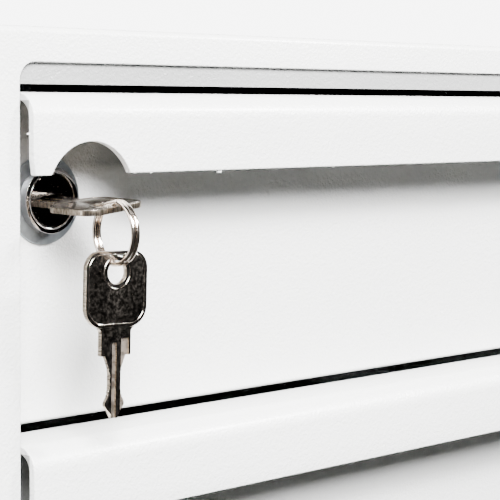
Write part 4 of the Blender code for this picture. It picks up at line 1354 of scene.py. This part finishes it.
@dataclass
class TillInsert:
    """Till tray, coin tray, clip rod, note clips and clip springs."""

    wall: float = 0.002
    coin_bay: float = 0.128
    columns: int = 4
    rows: int = 2
    bays: int = 4
    corner: float = 0.006
    rod: float = 0.002
    clip_thick: float = 0.002
    clip_play: float = 0.0004
    clip_toe: float = 0.006
    bore_reach: float = 0.03
    knuckle: float = 0.0042
    spring_wire: float = 0.0004
    spring_turns: int = 5

    def build(self, nodes: dict[str, bpy.types.Object], joints: dict[str, dict]) -> None:
        """Build the insert.

        Args:
            nodes: The frame's nodes by name.
            joints: The frame's joints by name.
        """
        self._tray(Vector(joints["note_clip_1_lift"]["pos_m"]))
        self._coins()
        nodes["clip_rod"].data.materials[0] = ZINC.material("clip_rod_zinc")
        for i in range(self.bays):
            self._clip(i + 1, Vector(joints[f"note_clip_{i + 1}_lift"]["pos_m"]))

    def _tray(self, pivot: Vector) -> None:
        """The main moulding with its note bays and coin bay."""
        low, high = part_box("till_tray")
        tray = piece_from(rounded_block(low, high, self.corner, UP), "till_tray_moulded", BLACK_ABS)
        floor, over = low.z + self.wall, high.z + self.wall
        bay_y = low.y + 2 * self.wall + self.coin_bay
        inner = high.x - low.x - 2 * self.wall
        width = (inner - (self.bays - 1) * self.wall) / self.bays
        for i in range(self.bays):
            x = low.x + self.wall + i * (width + self.wall)
            combine(tray, rounded_block((x, bay_y, floor), (x + width, high.y - self.wall, over),
                                        self.corner - self.wall, UP))
        combine(tray, rounded_block((low.x + self.wall, low.y + self.wall, floor),
                                    (high.x - self.wall, bay_y - self.wall, over),
                                    self.corner - self.wall, UP))
        hole, reach = self.rod + BORE_PLAY, inner + 6 * self.wall
        bore = [(0, 0), (hole, 0), (hole, reach), (0, reach)]
        combine(tray, spin_profile(bore, (low.x - self.wall, pivot.y, pivot.z), RIGHTWARDS, 32))
        ease(tray, 0.0005, 2)
        install(tray, "upper_drawer", "black_plastic", "till_tray")

    def _coins(self) -> None:
        """The lift-out moulding with scooped cups."""
        low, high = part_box("coin_tray")
        tray = piece_from(rounded_block(low, high, self.corner - self.wall, UP), "coin_tray_moulded",
                          GREY_ABS)
        width = (high.x - low.x - (self.columns + 1) * self.wall) / self.columns
        length = (high.y - low.y - (self.rows + 1) * self.wall) / self.rows
        scoop = min(length * 0.45, high.z - low.z - 2 * self.wall)
        floor = low.z + self.wall
        for row in range(self.rows):
            for column in range(self.columns):
                x = low.x + self.wall + column * (width + self.wall)
                y = low.y + self.wall + row * (length + self.wall)
                cup = block((x, y, floor), (x + width, y + length, high.z + 2 * self.wall))
                for edge_y in (y, y + length):
                    round_edges(cup, along(Axis.X, edge_y, floor), scoop, 14)
                combine(tray, cup)
        ease(tray, 0.0006, 3)
        install(tray, "upper_drawer", "grey_plastic", "coin_tray")

    def _clip(self, number: int, pivot: Vector) -> None:
        """One clip arm with its knuckle, and the coil beside it."""
        low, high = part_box(f"note_clip_{number}")
        half = self.clip_thick / 2
        toe = Vector((low.y - pivot.y, low.z + self.clip_thick - pivot.z))
        elbow = Vector((toe.x + self.clip_toe, low.z + half - pivot.z))
        forward = elbow.normalized()
        heading = math.degrees(math.atan2(forward.y, forward.x)) % 360
        under = Vector((-forward.y, forward.x)) * half
        spread = math.degrees(math.asin(half / self.knuckle))
        lift = Vector((0, half))
        points = arc((0, 0), self.knuckle, heading + spread, heading + 360 - spread, 36)
        points += [tuple(elbow - under), tuple(toe + lift), tuple(toe - lift * 0.2), tuple(elbow + under)]
        points = [(pivot.y + u, pivot.z + v) for u, v in points]
        clip = piece_from(extrude_outline(points, Axis.X, low.x, high.x), f"note_clip_{number}_moulded",
                          GREY_ABS)
        hole, reach = self.rod + self.clip_play, self.bore_reach
        bore = [(0, 0), (hole, 0), (hole, reach), (0, reach)]
        combine(clip, spin_profile(bore, (low.x - self.wall, pivot.y, pivot.z), RIGHTWARDS, 40))
        ease(clip, 0.0005, 3)
        install(clip, f"note_clip_{number}", "grey_plastic", f"note_clip_{number}")
        self._spring(number, pivot)

    def _spring(self, number: int, pivot: Vector) -> None:
        """A coil of spring wire round the rod."""
        low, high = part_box(f"clip_spring_{number}")
        radius = (high.y - low.y) / 2 - self.spring_wire
        shape = bmesh.new()
        start = Vector((low.x + self.spring_wire, pivot.y, pivot.z))
        section = Matrix.Translation(start + Vector((0, radius, 0)))
        made = bmesh.ops.create_circle(shape, cap_ends=True, segments=10, radius=self.spring_wire,
                                       matrix=section)
        steps = 24 * self.spring_turns
        length = high.x - low.x - 2 * self.spring_wire
        bmesh.ops.spin(shape, geom=[made["verts"][0].link_faces[0]], cent=start, axis=RIGHTWARDS,
                       angle=math.tau * self.spring_turns, steps=steps, dvec=Vector((length / steps, 0, 0)))
        bmesh.ops.remove_doubles(shape, verts=shape.verts, dist=MERGE)
        bmesh.ops.recalc_face_normals(shape, faces=shape.faces)
        spring = piece_from(shape, f"clip_spring_{number}_wire", BALL_STEEL)
        install(spring, f"note_clip_{number}", "zinc_steel", f"clip_spring_{number}")


@dataclass
class Studio:
    """Pale floor, soft boxes, a dim room and the camera."""

    lens: float = 130.35
    heading: float = math.radians(46.379)
    pitch: float = math.radians(4.791)
    roll: float = math.radians(0.479)
    stand: Vector = field(default_factory=lambda: Vector((-0.38452, -0.43631, -0.00134)))
    room_light: float = 0.045
    paper: float = 9.0
    floor_size: float = 30.0
    card_size: tuple[float, float] = (0.62, 0.34)
    card_distance: float = 0.5
    card_lift: float = -0.07
    sight: tuple[float, float] = (0.01, 100)

    def build(self) -> None:
        """Set the stage."""
        self._floor()
        self._room()
        self._lights()
        self._camera()

    def _floor(self) -> None:
        """A broad pale floor."""
        shape = bmesh.new()
        bmesh.ops.create_grid(shape, x_segments=1, y_segments=1, size=self.floor_size / 2)
        floor = piece_from(shape, "floor", Backdrop())
        floor.visible_diffuse = False
        floor.visible_glossy = False

    def _room(self) -> None:
        """White paper behind the unit and a dim room all round."""
        world = bpy.data.worlds.new("room")
        world.use_nodes = True
        tree = world.node_tree
        tree.nodes.clear()
        path = tree.nodes.new("ShaderNodeLightPath")
        dim = tree.nodes.new("ShaderNodeBackground")
        dim.inputs["Color"].default_value = (1.0, 0.97, 0.95, 1.0)
        dim.inputs["Strength"].default_value = self.room_light
        paper = tree.nodes.new("ShaderNodeBackground")
        paper.inputs["Strength"].default_value = self.paper
        choose = tree.nodes.new("ShaderNodeMixShader")
        out = tree.nodes.new("ShaderNodeOutputWorld")
        tree.links.new(path.outputs["Is Camera Ray"], choose.inputs[0])
        tree.links.new(dim.outputs[0], choose.inputs[1])
        tree.links.new(paper.outputs[0], choose.inputs[2])
        tree.links.new(choose.outputs[0], out.inputs[0])
        bpy.context.scene.world = world

    def _lights(self) -> None:
        """Soft boxes, each aimed at the lock."""
        low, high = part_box("lock_body")
        target = (low + high) / 2
        front, side = target.y - 0.02, target + Vector((0.17, 0.2, -0.08))
        soft_box("key_box", target + Vector((-0.631, -1.247, 0.968)), target + Vector((0.2, 0, 0)),
                 (0.9, 0.85), 80, spread=math.radians(90))
        soft_box("glint_box", target + Vector((1.08, -0.81, 0.66)), target, (0.22, 0.16), 62)
        soft_box("top_box", Vector((0.1, front + 0.75, 1.9)), side, (1.6, 1.2), 16)
        soft_box("left_box", Vector((-1.6, front + 0.45, 0.9)), side, (0.8, 0.8), 16)
        soft_box("right_box", Vector((1.7, front + 0.5, 0.8)), side, (0.8, 0.8), 20)
        soft_box("rear_box", Vector((0.6, front + 2.3, 1.0)), side, (1.4, 1.0), 34)
        self._dark_card(target)

    def _dark_card(self, target: Vector) -> None:
        """A black card low on the right, which the bright metal mirrors."""
        away = Vector((0.68, -0.73, 0)).normalized()
        centre = target + away * self.card_distance + Vector((0, 0, self.card_lift))
        place = Matrix.Translation(centre) @ away.to_track_quat("Z", "Y").to_matrix().to_4x4()
        shape = bmesh.new()
        bmesh.ops.create_grid(shape, x_segments=1, y_segments=1, size=0.5,
                              matrix=place @ Matrix.Diagonal((*self.card_size, 1, 1)))
        card = piece_from(shape, "dark_card", Velvet())
        card.visible_camera = False
        card.visible_shadow = False
        card.visible_diffuse = False

    def _camera(self) -> None:
        """The camera, turned by its heading, pitch and roll."""
        lock_low, lock_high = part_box("lock_body")
        front_low, front_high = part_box("upper_drawer_front")
        base = Vector(((lock_low.x + lock_high.x) / 2, front_low.y, front_high.z))
        ahead = Vector((math.sin(self.heading) * math.cos(self.pitch),
                        math.cos(self.heading) * math.cos(self.pitch), -math.sin(self.pitch)))
        right = Vector((math.cos(self.heading), -math.sin(self.heading), 0))
        up = right.cross(ahead)
        turned_right = right * math.cos(self.roll) + up * math.sin(self.roll)
        turned_up = up * math.cos(self.roll) - right * math.sin(self.roll)
        data = bpy.data.cameras.new("camera")
        data.lens = self.lens
        data.clip_start, data.clip_end = self.sight
        camera = bpy.data.objects.new("camera", data)
        turn = Matrix((turned_right, turned_up, -ahead)).transposed().to_4x4()
        camera.matrix_world = Matrix.Translation(base + self.stand) @ turn
        bpy.context.scene.collection.objects.link(camera)
        bpy.context.scene.camera = camera


def soft_box(name: str, place: Vector, target: Vector, size: tuple[float, float], power: float,
             spread: float = math.pi) -> None:
    """A rectangular lamp aimed at a target.

    Args:
        name: The lamp's name.
        place: Where it stands.
        target: What it faces.
        size: Its width and height.
        power: Its power in watts.
        spread: How wide its beam is.
    """
    data = bpy.data.lights.new(name, "AREA")
    data.shape = "RECTANGLE"
    data.size, data.size_y = size
    data.energy = power
    data.spread = spread
    lamp = bpy.data.objects.new(name, data)
    facing = (target - place).to_track_quat("-Z", "Y").to_matrix().to_4x4()
    lamp.matrix_world = Matrix.Translation(place) @ facing
    lamp.visible_camera = False
    bpy.context.scene.collection.objects.link(lamp)


def main() -> None:
    """Build the whole scene in order."""
    logging.basicConfig(level=logging.INFO, format="%(message)s")
    for old in list(bpy.data.objects):
        bpy.data.objects.remove(old, do_unlink=True)
    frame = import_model()
    nodes = frame["nodes"]
    joints = {joint["name"]: joint for joint in frame["joints"]}
    Studio().build()
    Casing().build(nodes)
    for label, with_lock in (("upper", True), ("lower", False)):
        HoodFront(label, with_lock).build()
        DrawerBody(label).build(nodes)
    CamLock().build()
    Keys().build(joints)
    TillInsert().build(nodes, joints)
    nodes["lower_divider"].data.materials[0] = ZINC.material("divider_zinc")


if __name__ == "__main__":
    main()
